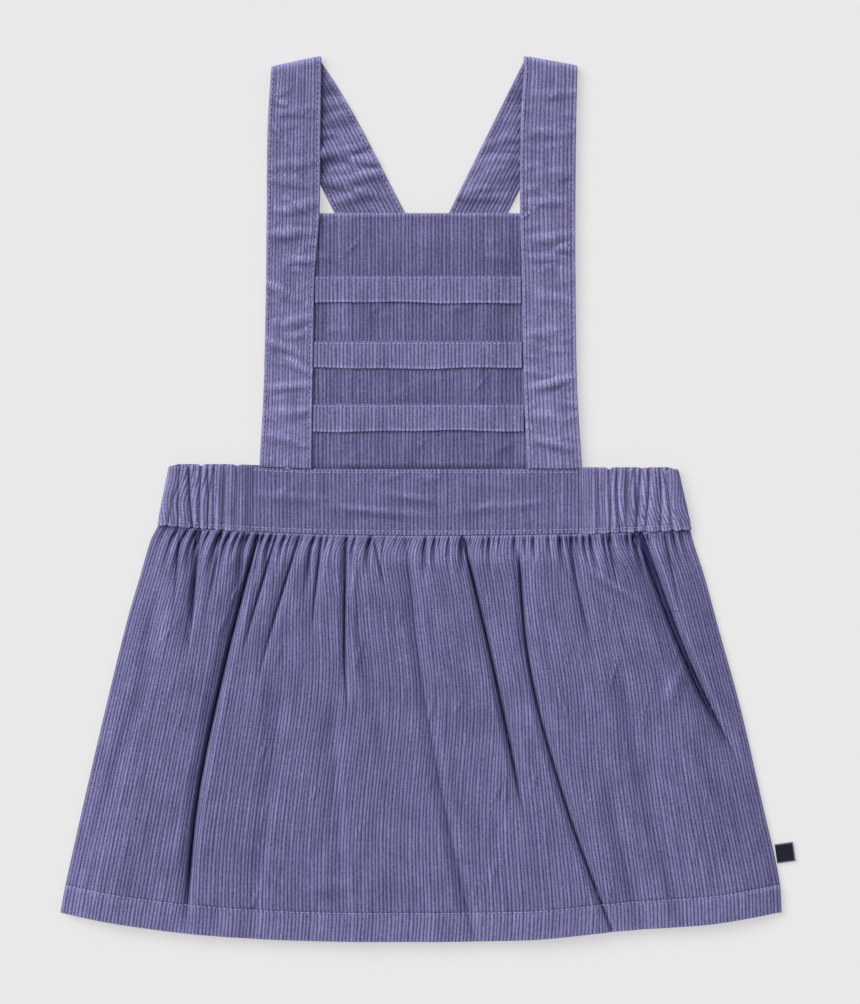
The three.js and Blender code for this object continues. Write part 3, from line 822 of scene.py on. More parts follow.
def satin(tree):
    """Woven polyester satin tape: fine crosswise threads that give a low, smooth gloss."""
    along = add(tree, "ShaderNodeAttribute", attribute_name="along").outputs["Fac"]
    tone = add(tree, "ShaderNodeAttribute", attribute_name="tone").outputs["Fac"]
    # Threads of 0.25 mm are drawn at twice their width so that they show
    turns = add(tree, "ShaderNodeMath", {0: along, 1: 2 * math.pi / 0.5}, operation="MULTIPLY").outputs[0]
    threads = add(tree, "ShaderNodeMath", {0: turns}, operation="SINE").outputs[0]
    colour = add(
        tree, "ShaderNodeMix", {0: tone, 6: linear("#0b0f24"), 7: linear("#c4c6d4")}, data_type="RGBA"
    )
    bump = add(
        tree, "ShaderNodeBump", {"Height": threads, "Strength": 0.4, "Distance": 0.05 * MM}
    ).outputs["Normal"]
    return add(tree, "ShaderNodeBsdfPrincipled", {
        "Base Color": colour.outputs[2], "Normal": bump, "Roughness": 0.6, "Specular IOR Level": 0.25,
    }).outputs[0]


def paper(tree):
    """Matt backdrop paper with a faint grain, lit from behind too, so that shadows on it stay pale."""
    place = add(tree, "ShaderNodeTexCoord").outputs["Object"]
    grain = add(tree, "ShaderNodeTexNoise", {"Vector": place, "Scale": 3.0, "Detail": 1.0}).outputs["Fac"]
    colour = add(
        tree, "ShaderNodeMix", {0: grain, 6: linear("#9c9b9b"), 7: linear("#9d9c9c")}, data_type="RGBA"
    )
    return add(tree, "ShaderNodeBsdfPrincipled", {
        "Base Color": colour.outputs[2], "Roughness": 1.0, "Specular IOR Level": 0.0,
        "Emission Color": linear("#eae8e9"), "Emission Strength": PAPER_GLOW,
    }).outputs[0]


# Skirt


def skirt_downs(coarse=1.0):
    """Rows of a skirt panel, closer together under the band and at the rolled hem."""
    near = np.concatenate([[-TUCKED_UNDER, -1.4, -0.7, -0.2, 0.4], np.arange(1, 30, 1.25 * coarse)])
    middle = np.arange(30, HEM_SHARE * SKIRT_LENGTH - 2, 2.7 * coarse)
    seam = HEM_SHARE * SKIRT_LENGTH + np.array([-1.2, -0.5, 0.1, 0.8, 1.6])
    hem = np.arange(seam[-1] + 1.6, SKIRT_LENGTH - 1.4, 1.8 * coarse)
    edge = SKIRT_LENGTH - np.array([1.1, 0.75, 0.45, 0.22, 0.07, 0])
    return np.concatenate([near, middle, seam, hem, edge]) / SKIRT_LENGTH


def run_of(x, z):
    """Way along each row of points from its first one."""
    steps = np.hypot(np.diff(x, axis=1), np.diff(z, axis=1))
    return np.concatenate([np.zeros((len(x), 1)), np.cumsum(steps, axis=1)], axis=1)


def even_across(place, downs, wales, per_wale):
    """Shares across at which each row meets its wales, evenly spaced along the folded cloth."""
    fine = np.linspace(0, 1, 2401)
    run = run_of(*place(downs[:, None], fine[None, :]))
    run /= run[:, -1:]
    even = np.linspace(0, 1, wales * per_wale + 1)
    shares = np.array([np.interp(even, row, fine) for row in run])
    for _ in range(EVENED):
        shares[1:-1] = (shares[:-2] + 2 * shares[1:-1] + shares[2:]) / 4
    return shares, even * wales


class DRESS_OT_skirt_front(bpy.types.Operator):
    """Makes the gathered front skirt panel."""

    bl_idname = "dress.skirt_front"
    bl_label = "Skirt front"

    def execute(self, context):
        cloth = context.scene.dress_cloth
        gathers = small_gathers(context.scene.dress_gather)
        wales = round(panel_width(SIDE_HEM) * 0.995 / (cloth.pitch / MM))
        downs = skirt_downs()

        def outline(down, across):
            x, _, top, _, _ = front_top(down, across, cloth, gathers)
            return x, top

        across, wale = even_across(outline, downs, wales, PER_WALE)
        down = downs[:, None] + 0 * across
        panel = panel_width(SIDE_HEM)
        along = down * SKIRT_LENGTH
        across = across + waver(wale, along) / panel * ease(nearer(across) * panel / 4)
        x, y, top, depth, lowest = front_top(down, across, cloth, gathers)
        wall = skirt_wall(down, cloth)
        # Loose cloth shows more of its ground than pressed pieces do
        nap = 1.16 * ribbed(wale)[None, :] - 0.14
        hem = rim((1 - down) * SKIRT_LENGTH, wall / 2)
        from_side = nearer(across) * panel_width(y)
        edge = hem * rim(from_side, wall / 2)
        middle = top - wall / 2
        relief = cloth.relief / MM * (1 - ribbed(wale))[None, :]
        steep = np.minimum(1.5, np.hypot(1, np.gradient(top, axis=1) / np.gradient(x, axis=1)))
        under = np.maximum(lowest - wall, middle - wall / 2 * steep * edge)
        under = np.where(down < 0, np.maximum(under, UNDER_BAND - 0.35), under)
        # Painted light and shade with some wear: ridges paler, hollows darker, and the creases darkened
        # further by their depth, a painted shade
        skirt_light_and_wear = 1.35 * wear_and_painted_light(np.stack([x, y, top], axis=2)) - 0.085 - 0.07 * depth
        hem_tone = 0.4 * edge_wear((1 - down) * SKIRT_LENGTH, 1.3) + 0.12 * ease((down - HEM_SHARE) / 0.01)
        tone = skirt_light_and_wear + hem_tone
        upper = side_of(x, y, middle + wall / 2 * edge - relief * edge, wale, along, nap, tone)
        lower = thinned(side_of(x, y, under, wale, along, *INSIDE), 3, PER_WALE)
        piece = cloth_piece("skirt_front", upper, lower)
        return {"FINISHED"}


class DRESS_OT_skirt_back(bpy.types.Operator):
    """Makes the back skirt panel."""

    bl_idname = "dress.skirt_back"
    bl_label = "Skirt back"

    def execute(self, context):
        cloth = context.scene.dress_cloth
        wales = round(panel_width(SIDE_HEM) / (cloth.pitch / MM))
        downs = skirt_downs(1.7)
        downs = downs[downs > 0]

        def outline(down, across):
            x, _ = on_skirt(down, across)
            return x, back_rise(x, down, across)

        across, wale = even_across(outline, downs, wales, 3)
        down = downs[:, None] + 0 * across
        x, y = on_skirt(down, across)
        rise = back_rise(x, down, across)
        wall = skirt_wall(down, cloth)
        nap = ribbed(wale)[None, :]
        from_side = nearer(across) * panel_width(y)
        edge = rim((1 - down) * SKIRT_LENGTH, wall / 2) * rim(from_side, wall / 2)
        middle = rise + wall / 2
        relief = cloth.relief / MM * (1 - nap)
        along = down * SKIRT_LENGTH
        upper = side_of(x, y, middle + wall / 2 * edge, wale, along, *INSIDE)
        lower = side_of(x, y, middle - wall / 2 * edge + relief * edge, wale, along, nap, 0.0)
        piece = cloth_piece("skirt_back", thinned(upper, 2, 3), lower)
        return {"FINISHED"}


# Waistband


def edge_rows(length, spacing, radius):
    """Distances from one rolled edge to the other, close together where the cloth turns."""
    turn = radius * np.array([0, 0.08, 0.28, 0.6, 1.0])
    inner = np.linspace(turn[-1], length - turn[-1], max(3, round(length / spacing)))
    return np.concatenate([turn[:-1], inner, length - turn[:-1][::-1]]) / length


class DRESS_OT_waistband_front(bpy.types.Operator):
    """Makes the flat front of the waistband."""

    bl_idname = "dress.waistband_front"
    bl_label = "Front band"

    def execute(self, context):
        cloth = context.scene.dress_cloth
        radius = BAND_THICKNESS / 2
        wales, wale = pressed_wales(BAND_SEAM_RIGHT - BAND_SEAM_LEFT - SEAM, cloth)
        downs = edge_rows(BAND_DEPTH, 1.35, radius)[:, None]
        way, rest = downs * BAND_DEPTH, (1 - downs) * BAND_DEPTH
        x = lerp(BAND_SEAM_LEFT + SEAM_SHOWN, BAND_SEAM_RIGHT - SEAM_SHOWN, wale / wales) + 0 * downs
        x = x + waver(wale, way) * ease(nearer(wale, wales) / 2)
        y = lerp(band_upper_edge(x), band_lower_edge(x), downs)
        y = y + toothed(wale, way, -1) - toothed(wale, rest, -1)
        middle = BAND_MIDDLE + wrinkled(BAND_WRINKLES, x, y)
        stitched = 0.4 * (bell(way - BAND_STITCH_UPPER, 1.3, 1.3) + bell(rest - BAND_STITCH_LOWER, 1.5, 1.5))
        ends = np.minimum(x - x[:, :1], x[:, -1:] - x)
        edge = rim(nearer(downs) * BAND_DEPTH, radius) * rim(ends + 0.35, 0.6)
        rubbed = 0.5 * edge_wear(way, 1.3) + 0.45 * edge_wear(rest, 2.2)
        # Painted highlight and shade from the band's bends and the way it faces the key light, with pale
        # rubbed edges as wear
        tone = 1.6 * wear_and_painted_light(np.stack([x, y, middle], axis=2)) + rubbed - 0.11 + 0.05 * edge_wear(ends, 14)
        place = (x, y, middle)
        piece = pressed_piece("waistband_front", place, radius, edge, -stitched, wale, way, tone, cloth)
        return {"FINISHED"}


class DRESS_OT_waistband_back(bpy.types.Operator):
    """Makes the band round the sides and back."""

    bl_idname = "dress.waistband_back"
    bl_label = "Elasticated band"

    def execute(self, context):
        cloth = context.scene.dress_cloth
        roll = (BAND_MIDDLE + ELASTIC_SWELL - BAND_BACK_MIDDLE) / 2
        radius = BAND_THICKNESS / 2
        downs = edge_rows(BAND_DEPTH, 1.5, radius)
        left_end = lerp(*BAND_ENDS["left"], downs)[:, None] + roll
        right_end = lerp(*BAND_ENDS["right"], downs)[:, None] - roll
        fine = np.linspace(0, 1, 500)[None, :]
        turn = np.linspace(0.04, 0.96, 60)[None, :] * np.pi

        def stretch_front(start, end):
            x = lerp(start, end, fine)
            y = lerp(band_upper_edge(x), band_lower_edge(x), downs[:, None])
            from_end = np.minimum(x - left_end, right_end - x)
            return x, lerp(BAND_BACK_MIDDLE + 2 * roll, band_height(x, y)[0], ease(from_end / 4))

        # Five stretches, from the left seam of the front round the back to its right seam
        x1, z1 = stretch_front(BAND_SEAM_LEFT - SEAM_SHOWN, left_end)
        x2, z2 = left_end - roll * np.sin(turn), BAND_BACK_MIDDLE + roll * (1 + np.cos(turn)) + 0 * left_end
        x3 = lerp(left_end, right_end, fine)
        z3 = BAND_BACK_MIDDLE + groove_depth(x3) * ease(nearer(fine) * 20)
        x4, z4 = right_end + roll * np.sin(turn[:, ::-1]), z2[:, ::-1]
        x5, z5 = stretch_front(right_end, BAND_SEAM_RIGHT + SEAM_SHOWN)
        x = np.concatenate([x1[:, :-1], x2, x3[:, 1:-1], x4, x5[:, 1:]], axis=1)
        z = np.concatenate([z1[:, :-1], z2, z3[:, 1:-1], z4, z5[:, 1:]], axis=1)
        run = run_of(x, z)
        wales = round(ELASTIC_FULLNESS * run[len(downs) // 2, -1] / (cloth.pitch / MM))
        even = np.linspace(0, 1, wales * PER_WALE + 1)
        x = np.array([np.interp(even * r[-1], r, row) for r, row in zip(run, x)])
        z = np.array([np.interp(even * r[-1], r, row) for r, row in zip(run, z)])
        down = downs[:, None] + 0 * x
        y = lerp(band_upper_edge(x), band_lower_edge(x), down)
        on_front = z > BAND_BACK_MIDDLE + roll
        depth = np.where(on_front, band_height(x, y)[1], groove_depth(x))
        from_end = ease(np.minimum(x - left_end + roll, right_end + roll - x) / 4)
        y = y + ease((0.5 - down) * 2) * (0.9 - LOBE_DIP * depth) * from_end
        y = y + ease((down - 0.6) * 2.5) * (LOBE_RISE * depth - 0.5)
        points = np.stack([x, y, z], axis=2).transpose(1, 0, 2)
        normals = normals_of(points)
        edge = rim(nearer(down) * BAND_DEPTH, radius).T
        way, rest = down.T * BAND_DEPTH, (1 - down.T) * BAND_DEPTH
        wale = (even * wales)[:, None]
        nap = ribbed(wale) + 0 * edge
        stitched = 0.35 * bell(rest - BAND_STITCH_LOWER, 1.5, 1.5)
        relief = cloth.relief / MM * (1 - nap)
        outer = points + normals * ((radius - relief) * edge - stitched)[..., None]
        inner = points - normals * (radius * edge)[..., None]
        seam_off = np.where(x < 0, BAND_SEAM_LEFT - x, x - BAND_SEAM_RIGHT)
        rubbed = 0.5 * edge_wear(way, 1.5) + 0.45 * edge_wear(rest, 2.6)
        # Painted shade: the creases of the elasticated band are darkened by their depth, on top of the
        # painted light and wear of its bends and its rubbed edges
        tone = wear_and_painted_light(points) + rubbed + (0.15 * ease(seam_off / 16) - 0.22 * depth).T - 0.08
        upper = side_of(*outer.transpose(2, 0, 1), wale, way, nap, tone)
        lower = thinned(side_of(*inner.transpose(2, 0, 1), wale, way, *INSIDE), PER_WALE, 2)
        piece = cloth_piece("waistband_back", upper, lower)
        return {"FINISHED"}


def groove_depth(x):
    """Depth of the even grooves of the elasticated band at the back."""
    return 0.7 * np.maximum(0, -np.cos(x / 3.2 + np.sin(x / 9))) ** 4


# Bib and tucks


class DRESS_OT_bib(bpy.types.Operator):
    """Makes the bib."""

    bl_idname = "dress.bib"
    bl_label = "Bib"

    def execute(self, context):
        cloth = context.scene.dress_cloth
        radius = cloth.thickness / MM / 2
        length = BIB_HIGH[1] - BIB_LOW[1] + TUCKED_UNDER
        wales, wale = pressed_wales(BIB_HIGH[0] - BIB_LOW[0], cloth)
        downs = edge_rows(length, 1.6, radius)[:, None]
        way = downs * length
        x = lerp(BIB_LOW[0], BIB_HIGH[0], wale / wales) + waver(wale, way)
        y = lerp(BIB_HIGH[1], BIB_LOW[1] - TUCKED_UNDER, downs) + toothed(wale, way, -1)
        pinch = sum(0.225 * bell(y - high[1] - 1.2, 2.2, 2.6) for _, high in TUCK_BOXES.values())
        swell = 0.22 * np.sin(x / 7.1 + y / 19) + 0.16 * np.sin(x / 3.3 - y / 11)
        middle = bib_height(x, y) + wrinkled(BIB_WRINKLES, x, y) + np.maximum(0, swell) - pinch
        middle += (UNDER_BAND - radius - middle) * ease((BIB_LOW[1] + 1.2 - y) / 1.6)
        rolled = 0.5 * bell(y - BIB_HIGH[1] + 1.2, 2.2, 1.4)
        edge = rim(nearer(downs) * length, radius) * rim(nearer(wale, wales) * WALE_WIDE, radius)
        # Painted highlight and shade from the bib's bends and the way it faces the key light, with a pale
        # rubbed upper edge as wear
        tone = 1.6 * wear_and_painted_light(np.stack([x, y, middle], axis=2)) - 0.18 + 0.8 * edge_wear(way, 2.2)
        piece = pressed_piece("bib", (x, y, middle), radius, edge, rolled, wale, way, tone, cloth)
        return {"FINISHED"}


def tuck_span(name):
    """Ends of a tuck, just clear of the straps' inner edges."""
    low, high = TUCK_BOXES[name]
    y = (low[1] + high[1]) / 2
    clear = 0.25
    return strap_edge("strap_left", "inner")(y) + clear, strap_edge("strap_right", "inner")(y) - clear


def tuck_top(name, x, fold, cloth):
    """y, underside and thickness of a tuck: fold runs from its stitches (0) to its folded edge (1)."""
    low, high = TUCK_BOXES[name]
    depth = high[1] - low[1]
    number = list(TUCK_BOXES).index(name)
    uneven = 0.35 * np.sin(x / 17 + 2 * number) + 0.2 * np.sin(x / 6.3 + number)
    y = high[1] - fold * (depth + uneven * fold)
    thick = cloth.doubled / MM * lerp(0.4, 0.85, ease(fold * depth / 4))
    base = bib_height(x, y) + cloth.thickness / MM / 2 + SEAM + 0.1
    ripple = 0.14 * np.sin(x / 3.1 + 3 * number) * ease(fold)
    return y, base, thick + ripple


class DRESS_OT_tucks(bpy.types.Operator):
    """Makes the three pressed tucks of the bib."""

    bl_idname = "dress.tucks"
    bl_label = "Tucks"

    def execute(self, context):
        cloth = context.scene.dress_cloth
        for name, (low, high) in TUCK_BOXES.items():
            start, end = tuck_span(name)
            depth = high[1] - low[1]
            wales, wale = pressed_wales(end - start, cloth)
            fold = edge_rows(depth, 0.9, cloth.doubled / MM / 2)[:, None]
            way, rest = fold * depth, (1 - fold) * depth
            x = lerp(start, end, wale / wales) + waver(wale, way) * ease(nearer(wale, wales) / 2)
            y, base, thick = tuck_top(name, x, fold, cloth)
            y = y + toothed(wale, rest, 1)
            radius = thick / 2
            edge = rim(rest, radius) * rim(way, radius * 0.6)
            edge = edge * rim(nearer(wale, wales) * WALE_WIDE, radius * 0.7)
            raised = -0.35 * bell(way - TUCK_STITCH, 1, 1.2) * edge
            tone = 0.05 + 0.9 * edge_wear(rest, 1.8) + 0.25 * edge_wear(way, 1.3)
            place = (x, y, base + radius)
            piece = pressed_piece(name, place, radius, edge, raised, wale, way, tone, cloth)
        return {"FINISHED"}


# Straps


def strap_edge(name, edge):
    """x of a strap's outer or inner edge at a height up its front."""
    strap = STRAPS[name]
    rows = [*[(row.key, getattr(row, edge)) for row in strap.front], (SHOULDER, strap.shoulder[edge][0])]
    return through([row[0] for row in rows], [row[1] for row in rows])


def strap_grid(name, across, wandering=True):
    """Middle of a strap's wall from its end behind the bib, over the shoulder, to its end at the band.

    Its columns follow the wales, which wander, or run straight where wandering is off.
    """
    strap = STRAPS[name]
    roll = (STRAP_FRONT_HEIGHT - STRAP_BACK_HEIGHT) / 2
    share = np.linspace(0, 1, FRONT_ROWS)
    start = strap.front[0].key
    way = np.linspace(0, 1, BACK_ROWS)
    turn = np.pi * np.arange(1, FOLD_ROWS + 1) / (FOLD_ROWS + 1)
    ts = [0, *[row[0] for row in strap.back]]
    lines = {}
    for edge, column in (("outer", 2), ("inner", 3)):
        shoulder_x, shoulder_y = strap.shoulder[edge]
        y = lerp(start, shoulder_y, share)
        x = strap_edge(name, edge)(y)
        y += (band_upper_edge(x) + SEAM_SHOWN - start) * ease(1 - (y - start) / 9)
        front = np.stack([x, y, np.full_like(y, STRAP_FRONT_HEIGHT)], axis=1)
        fold = np.stack([
            np.full_like(turn, shoulder_x),
            shoulder_y + roll * np.sin(turn),
            STRAP_BACK_HEIGHT + roll * (1 + np.cos(turn)),
        ], axis=1)
        back_x = through(ts, [shoulder_x, *[row[column] for row in strap.back]])(way)
        back_y = through(ts, [shoulder_y, *[row[1] for row in strap.back]])(way)
        back = np.stack([back_x, back_y, np.full_like(way, STRAP_BACK_HEIGHT)], axis=1)
        lines[edge] = np.concatenate([front, fold, back])[::-1]
    inner_y = lines["inner"][:BACK_ROWS, 1]
    lifted = ease((CROSSING_END - np.abs(inner_y - CROSSING_Y)) / (CROSSING_END - CROSSING_FULL))
    grid = lines["outer"][:, None, :] + (lines["inner"] - lines["outer"])[:, None, :] * across[None, :, None]
    if strap.over:
        grid[:BACK_ROWS, :, 2] += STRAP_CROSSING * lifted[:, None]
        grid = grid[:, ::-1]
    run = np.cumsum(np.linalg.norm(np.diff(grid[:, :1], axis=0, prepend=grid[:1, :1]), axis=2), axis=0)
    if wandering:
        sideways = grid[:, -1:] - grid[:, :1]
        width = np.linalg.norm(sideways, axis=2, keepdims=True)
        wander = waver(across * STRAP_WALES[name], run) * ease(nearer(across) * 9)
        grid += sideways / width * wander[..., None]
    on_front = (np.arange(len(grid)) >= BACK_ROWS + FOLD_ROWS)[:, None]
    x, y = grid[:, :, 0], grid[:, :, 1]
    grid[:, :, 2] += np.where(on_front, wrinkled(STRAP_WRINKLES[name], x, y), 0)
    # Behind, the wrinkles fade out over the bib's top, which they would pierce, and at the shoulder
    creases = crumples(SEED + 5 + strap.over, 60, (0, 90), (STRAP_WIDTH, 235), STRAP_WRINKLES_LEAN, 2.0)
    behind = wrinkled(creases, across[None, :] * STRAP_WIDTH, run)
    clear = ease((y - BIB_HIGH[1] - 1) / 9) * ease((SHOULDER + 3 - y) / 10)
    grid[:, :, 2] += np.where(on_front, 0, behind * clear)
    return grid


class DRESS_OT_straps(bpy.types.Operator):
    """Makes the two straps."""

    bl_idname = "dress.straps"
    bl_label = "Straps"

    def execute(self, context):
        cloth = context.scene.dress_cloth
        radius = cloth.doubled / MM / 2
        for name in STRAPS:
            wales = STRAP_WALES[name]
            wale = np.linspace(0, wales, wales * 5 + 1)
            grid = strap_grid(name, wale / wales)
            normals = normals_of(grid)
            from_edge = nearer(wale, wales)[None, :] * STRAP_WIDTH / wales
            edge = rim(from_edge, radius)
            nap = ribbed(wale)[None, :] + 0 * edge
            relief = cloth.relief / MM * (1 - nap)
            stitched = 0.35 * bell(from_edge - 1.6, 1.1, 1.1)
            lengths = np.linalg.norm(np.diff(grid[:, len(wale) // 2], axis=0), axis=1)
            along = np.concatenate([[0], np.cumsum(lengths)])[:, None]
            on_front = ease((np.arange(len(grid)) - BACK_ROWS) / FOLD_ROWS)[:, None]
            lower_front = on_front * ease((130 - grid[:, :, 1]) / 60)
            base_tone = 0.07 + 0.14 * lower_front + 0.45 * edge_wear(from_edge, 1.0)
            # Painted highlight and shade from the strap's bends and the way it faces the key light, with
            # pale rubbed edges as wear
            tone = base_tone + 1.9 * wear_and_painted_light(grid)
            # Painted shadow: the straps' backs are darker where the front stretches overhang them
            from_inner = STRAP_INNER - np.abs(grid[:, :, 0])
            overhang_shadow = 0.3 * edge_wear(from_inner, 11) * ease((SHOULDER + 5 - grid[:, :, 1]) / 12)
            tone_behind = base_tone + 1.9 * wear_and_painted_light(grid[:, ::-1])[:, ::-1] - overhang_shadow
            wall = normals * ((radius - relief) * edge - stitched)[..., None]
            upper = side_of(*(grid + wall).transpose(2, 0, 1), wale[None, :], along, nap, tone)
            back_wale = wale[None, :] + BACK_WALE
            lower = side_of(*(grid - wall).transpose(2, 0, 1), back_wale, along, nap, tone_behind)
            piece = cloth_piece(name, upper, lower)
        return {"FINISHED"}


# Label


class DRESS_OT_label(bpy.types.Operator):
    """Makes the folded label in the side seam."""

    bl_idname = "dress.label"
    bl_label = "Label"

    def execute(self, context):
        low, high = box_mm("label")
        turn = math.radians(8)
        width, length, radius = 9.3, 9.8, 0.45
        across = edge_rows(width, 0.4, radius)[None, :] * width
        down = edge_rows(length, 0.4, radius)[:, None] * length
        root_x, root_y = low[0], high[1] - width * math.sin(turn)
        flat_x, flat_y = across + 0 * down, -down + 0 * across
        x = root_x + flat_x * math.cos(turn) - flat_y * math.sin(turn)
        y = root_y + flat_x * math.sin(turn) + flat_y * math.cos(turn)
        x -= x.min() - low[0]
        edge = rim(nearer(down, length), radius) * rim(width - across, radius)
        middle = (low[2] + high[2]) / 2 + 0.5 * ease(across / width)
        border = bell(nearer(down, length) - 0.25, 0.35, 0.35) + bell(width - across - 0.25, 0.35, 0.35)
        tone = np.clip(0.5 * border, 0, 0.5)
        upper = side_of(x, y, middle + radius * edge, across, down, 0.0, tone)
        lower = side_of(x, y, middle - radius * edge, across, down, 0.0, tone)
        tape = finished("woven satin tape", satin)
        held(closed_cloth("satin_label", upper, lower, tape), "label_satin", "label")
        return {"FINISHED"}


# Stitches


def stitch_tree():
    """Geometry Nodes that lay one stitch after the other along each line of a curve."""
    tree = bpy.data.node_groups.new("top stitching", "GeometryNodeTree")
    tree.interface.new_socket(name="Lines", in_out="INPUT", socket_type="NodeSocketGeometry")
    for name in ("Pitch", "Length", "Width"):
        tree.interface.new_socket(name=name, in_out="INPUT", socket_type="NodeSocketFloat")
    tree.interface.new_socket(name="Seed", in_out="INPUT", socket_type="NodeSocketInt")
    tree.interface.new_socket(name="Thread", in_out="INPUT", socket_type="NodeSocketMaterial")
    tree.interface.new_socket(name="Stitches", in_out="OUTPUT", socket_type="NodeSocketGeometry")
    given = add(tree, "NodeGroupInput").outputs
    places = add(
        tree, "GeometryNodeResampleCurve", {"Curve": given["Lines"], "Length": given["Pitch"]}, mode="LENGTH"
    ).outputs["Curve"]
    ball = add(
        tree, "GeometryNodeMeshUVSphere", {"Segments": 8, "Rings": 5, "Radius": 0.5}
    ).outputs["Mesh"]
    size = add(
        tree, "ShaderNodeCombineXYZ", {0: given["Length"], 1: given["Width"], 2: given["Width"]}
    ).outputs[0]
    shaped = add(tree, "GeometryNodeTransform", {"Geometry": ball, "Scale": size}).outputs["Geometry"]
    smooth = add(tree, "GeometryNodeSetShadeSmooth", {"Geometry": shaped}).outputs["Geometry"]
    tangent = add(tree, "GeometryNodeInputTangent").outputs["Tangent"]
    turned = add(
        tree, "FunctionNodeAlignRotationToVector", {"Vector": tangent}, axis="X"
    ).outputs["Rotation"]
    uneven = add(
        tree, "FunctionNodeRandomValue",
        {0: (0.8, 0.85, 0.85), 1: (1.12, 1.15, 1.15), "Seed": given["Seed"]}, data_type="FLOAT_VECTOR",
    ).outputs["Value"]
    laid = add(
        tree, "GeometryNodeInstanceOnPoints",
        {"Points": places, "Instance": smooth, "Rotation": turned, "Scale": uneven},
    ).outputs["Instances"]
    real = add(tree, "GeometryNodeRealizeInstances", {"Geometry": laid}).outputs["Geometry"]
    made = add(
        tree, "GeometryNodeSetMaterial", {"Geometry": real, "Material": given["Thread"]}
    ).outputs["Geometry"]
    add(tree, "NodeGroupOutput", {"Stitches": made})
    return tree


def stitch_rows(name, lines, context):
    """Makes one piece of all the stitches along lines of points, in millimetres."""
    sewing = context.scene.dress_sewing
    tree = bpy.data.node_groups.get("top stitching") or stitch_tree()
    curve = bpy.data.curves.new(name + " lines", "CURVE")
    curve.dimensions = "3D"
    for line in lines:
        spline = curve.splines.new("POLY")
        spline.points.add(len(line) - 1)
        spline.points.foreach_set("co", np.c_[np.asarray(line) * MM, np.ones(len(line))].ravel())
    guide = placed(name + " lines", curve)
    laid = guide.modifiers.new("Stitches", "NODES")
    laid.node_group = tree
    values = {
        "Pitch": sewing.pitch, "Length": sewing.length, "Width": sewing.width,
        "Seed": SEED, "Thread": finished("spun polyester thread", thread),
    }
    for item in tree.interface.items_tree:
        if item.in_out == "INPUT" and item.name in values:
            laid[item.identifier] = values[item.name]
    evaluated = guide.evaluated_get(context.evaluated_depsgraph_get())
    mesh = bpy.data.meshes.new_from_object(evaluated)
    if not len(mesh.polygons):
        raise RuntimeError(name + " has no stitches")
    guide.modifiers.remove(laid)
    bpy.data.objects.remove(guide)
    return held(placed(name, mesh), "thread")


def band_stitch_line(y_of, start, end):
    """Line of stitches on the waistband's face, at the heights that y_of gives."""
    x = np.linspace(start, end, 260)
    y = y_of(x)
    height = band_height(x, y)[0] + BAND_THICKNESS / 2 - 0.12 + wrinkled(BAND_WRINKLES, x, y)
    return np.stack([x, y, height], axis=1)


class DRESS_OT_stitches(bpy.types.Operator):
    """Lays the top stitching along its seams."""

    bl_idname = "dress.stitches"
    bl_label = "Stitches"

    def execute(self, context):
        cloth = context.scene.dress_cloth
        inset = context.scene.dress_sewing.inset / MM
        gathers = small_gathers(context.scene.dress_gather)
        lower = band_stitch_line(
            lambda x: band_lower_edge(x) + BAND_STITCH_LOWER,
            BAND_ENDS["left"][1] + 4, BAND_ENDS["right"][1] - 4,
        )
        upper = band_stitch_line(
            lambda x: band_upper_edge(x) - BAND_STITCH_UPPER, BAND_SEAM_LEFT + 1, BAND_SEAM_RIGHT - 1
        )
        stitch_rows("stitches_waistband", [lower, upper], context)
        lines = []
        for name in STRAPS:
            for share in (inset / STRAP_WIDTH, 1 - inset / STRAP_WIDTH):
                grid = strap_grid(name, np.array([share - 0.01, share, share + 0.01]), wandering=False)
                normals = normals_of(grid)[:, 1]
                height = cloth.doubled / MM / 2 - 0.27
                outer = (grid[:, 1] + normals * height)[4:-4]
                lines.append(np.c_[outer[:, :2], np.maximum(outer[:, 2], LEAST_STITCH_HEIGHT)])
                lines.append((grid[:, 1] - normals * height)[BACK_ROWS // 2 : BACK_ROWS])
        stitch_rows("stitches_straps", lines, context)
        lines = []
        for name, (low, high) in TUCK_BOXES.items():
            start, end = tuck_span(name)
            x = np.linspace(start + 1, end - 1, 90)
            y, base, thick = tuck_top(name, x, TUCK_STITCH / (high[1] - low[1]), cloth)
            lines.append(np.stack([x, y, base + thick - 0.05], axis=1))
        stitch_rows("stitches_tucks", lines, context)
        across = np.linspace(0.006, 0.994, 420)
        down = np.full_like(across, HEM_SHARE)
        x, y, top, _, _ = front_top(down, across, cloth, gathers)
        front = np.stack([x, y, top + 0.12], axis=1)
        x, y = on_skirt(down, across)
        back = np.stack([x, y, back_rise(x, down, across) + 0.32], axis=1)
        stitch_rows("stitches_hem", [front, back], context)
        return {"FINISHED"}


# Studio


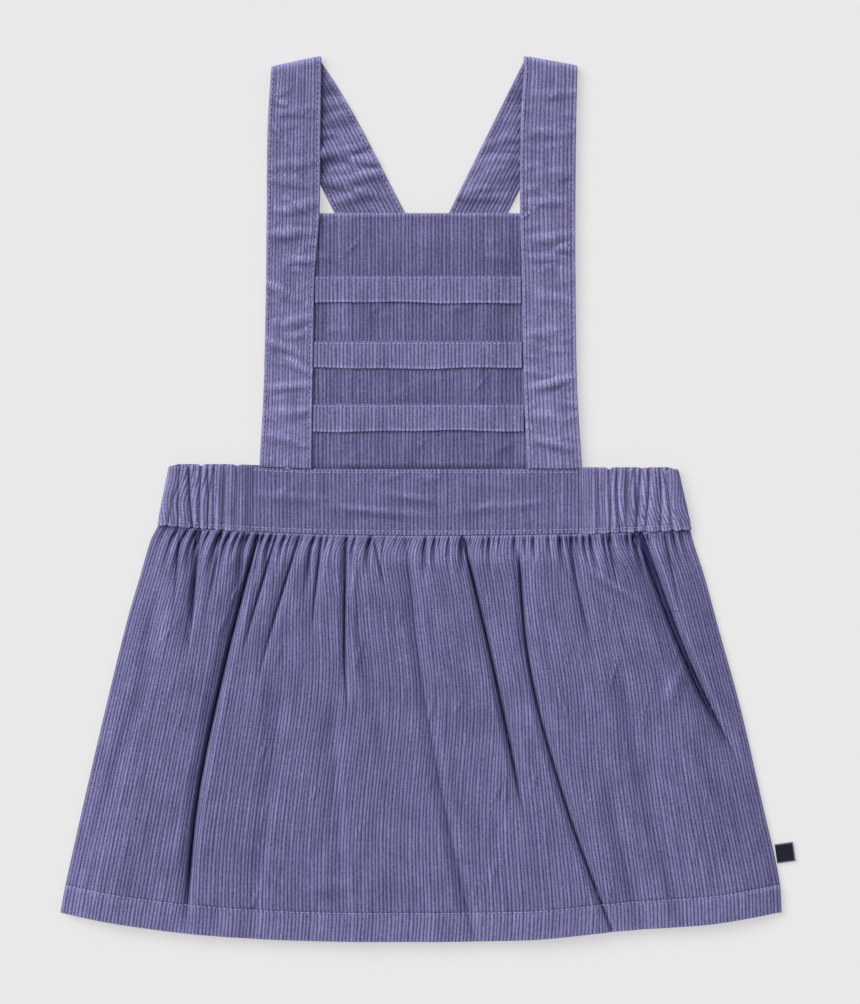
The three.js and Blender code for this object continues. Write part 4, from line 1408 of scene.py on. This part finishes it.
class DRESS_OT_studio(bpy.types.Operator):
    """Makes the floor, the soft light and the camera."""

    bl_idname = "dress.studio"
    bl_label = "Studio"

    def execute(self, context):
        studio = context.scene.dress_studio
        scene = context.scene
        scene.view_settings.view_transform = "Standard"
        half = 4.0
        corners = [(-half, -half, 0), (half, -half, 0), (half, half, 0), (-half, half, 0)]
        mesh = bpy.data.meshes.new("studio_floor")
        mesh.from_pydata(corners, [], [(0, 1, 2, 3)])
        mesh.materials.append(finished("matt backdrop paper", paper))
        floor = placed("studio_floor", mesh)
        floor.location.z = -0.1 * MM
        world = bpy.data.worlds.new("studio")
        world.use_nodes = True
        background = world.node_tree.nodes["Background"].inputs
        background["Color"].default_value = linear("#fdfdff")
        background["Strength"].default_value = studio.fill
        scene.world = world
        light = bpy.data.lights.new("key", "SUN")
        light.energy = studio.key
        light.angle = studio.softness
        key = placed("key", light)
        key.rotation_mode = "QUATERNION"
        key.rotation_quaternion = Vector((-0.62, 0.5, 1.0)).to_track_quat("Z", "Y")
        lens = bpy.data.cameras.new("camera")
        lens.lens = studio.lens
        lens.sensor_width = 36.0
        distance = VIEW_DOT * max(VIEW_SIZE) * studio.lens / lens.sensor_width
        lens.clip_end = 100
        camera = placed("camera", lens)
        camera.location = Vector((*VIEW_MIDDLE, VIEW_LEVEL + distance)) * MM
        scene.camera = camera
        return {"FINISHED"}


# Add-on


STEPS = (
    DRESS_OT_studio, DRESS_OT_skirt_back, DRESS_OT_skirt_front, DRESS_OT_waistband_back,
    DRESS_OT_waistband_front, DRESS_OT_bib, DRESS_OT_tucks, DRESS_OT_straps, DRESS_OT_label,
    DRESS_OT_stitches,
)


class DRESS_PT_panel(bpy.types.Panel):
    """Lists the dress's sizes, colours and steps."""

    bl_label = "Corduroy Dress"
    bl_idname = "DRESS_PT_panel"
    bl_space_type = "VIEW_3D"
    bl_region_type = "UI"
    bl_category = "Dress"

    def draw(self, context):
        for group in SETTINGS:
            box = self.layout.box()
            settings = getattr(context.scene, group)
            for name in settings.bl_rna.properties.keys():
                if name not in ("rna_type", "name"):
                    box.prop(settings, name)
        for operator in STEPS:
            self.layout.operator(operator.bl_idname)


SETTINGS = {
    "dress_cloth": ClothSettings,
    "dress_sewing": SewingSettings,
    "dress_gather": GatherSettings,
    "dress_studio": StudioSettings,
}


def register():
    for group in (*SETTINGS.values(), *STEPS, DRESS_PT_panel):
        bpy.utils.register_class(group)
    for name, group in SETTINGS.items():
        setattr(bpy.types.Scene, name, bpy.props.PointerProperty(type=group))


def unregister():
    for name in SETTINGS:
        delattr(bpy.types.Scene, name)
    for group in reversed((*SETTINGS.values(), *STEPS, DRESS_PT_panel)):
        bpy.utils.unregister_class(group)


def main():
    """Makes the whole dress."""
    register()
    for operator in STEPS:
        getattr(bpy.ops.dress, operator.bl_idname.split(".")[1])()


if __name__ == "__main__":
    main()
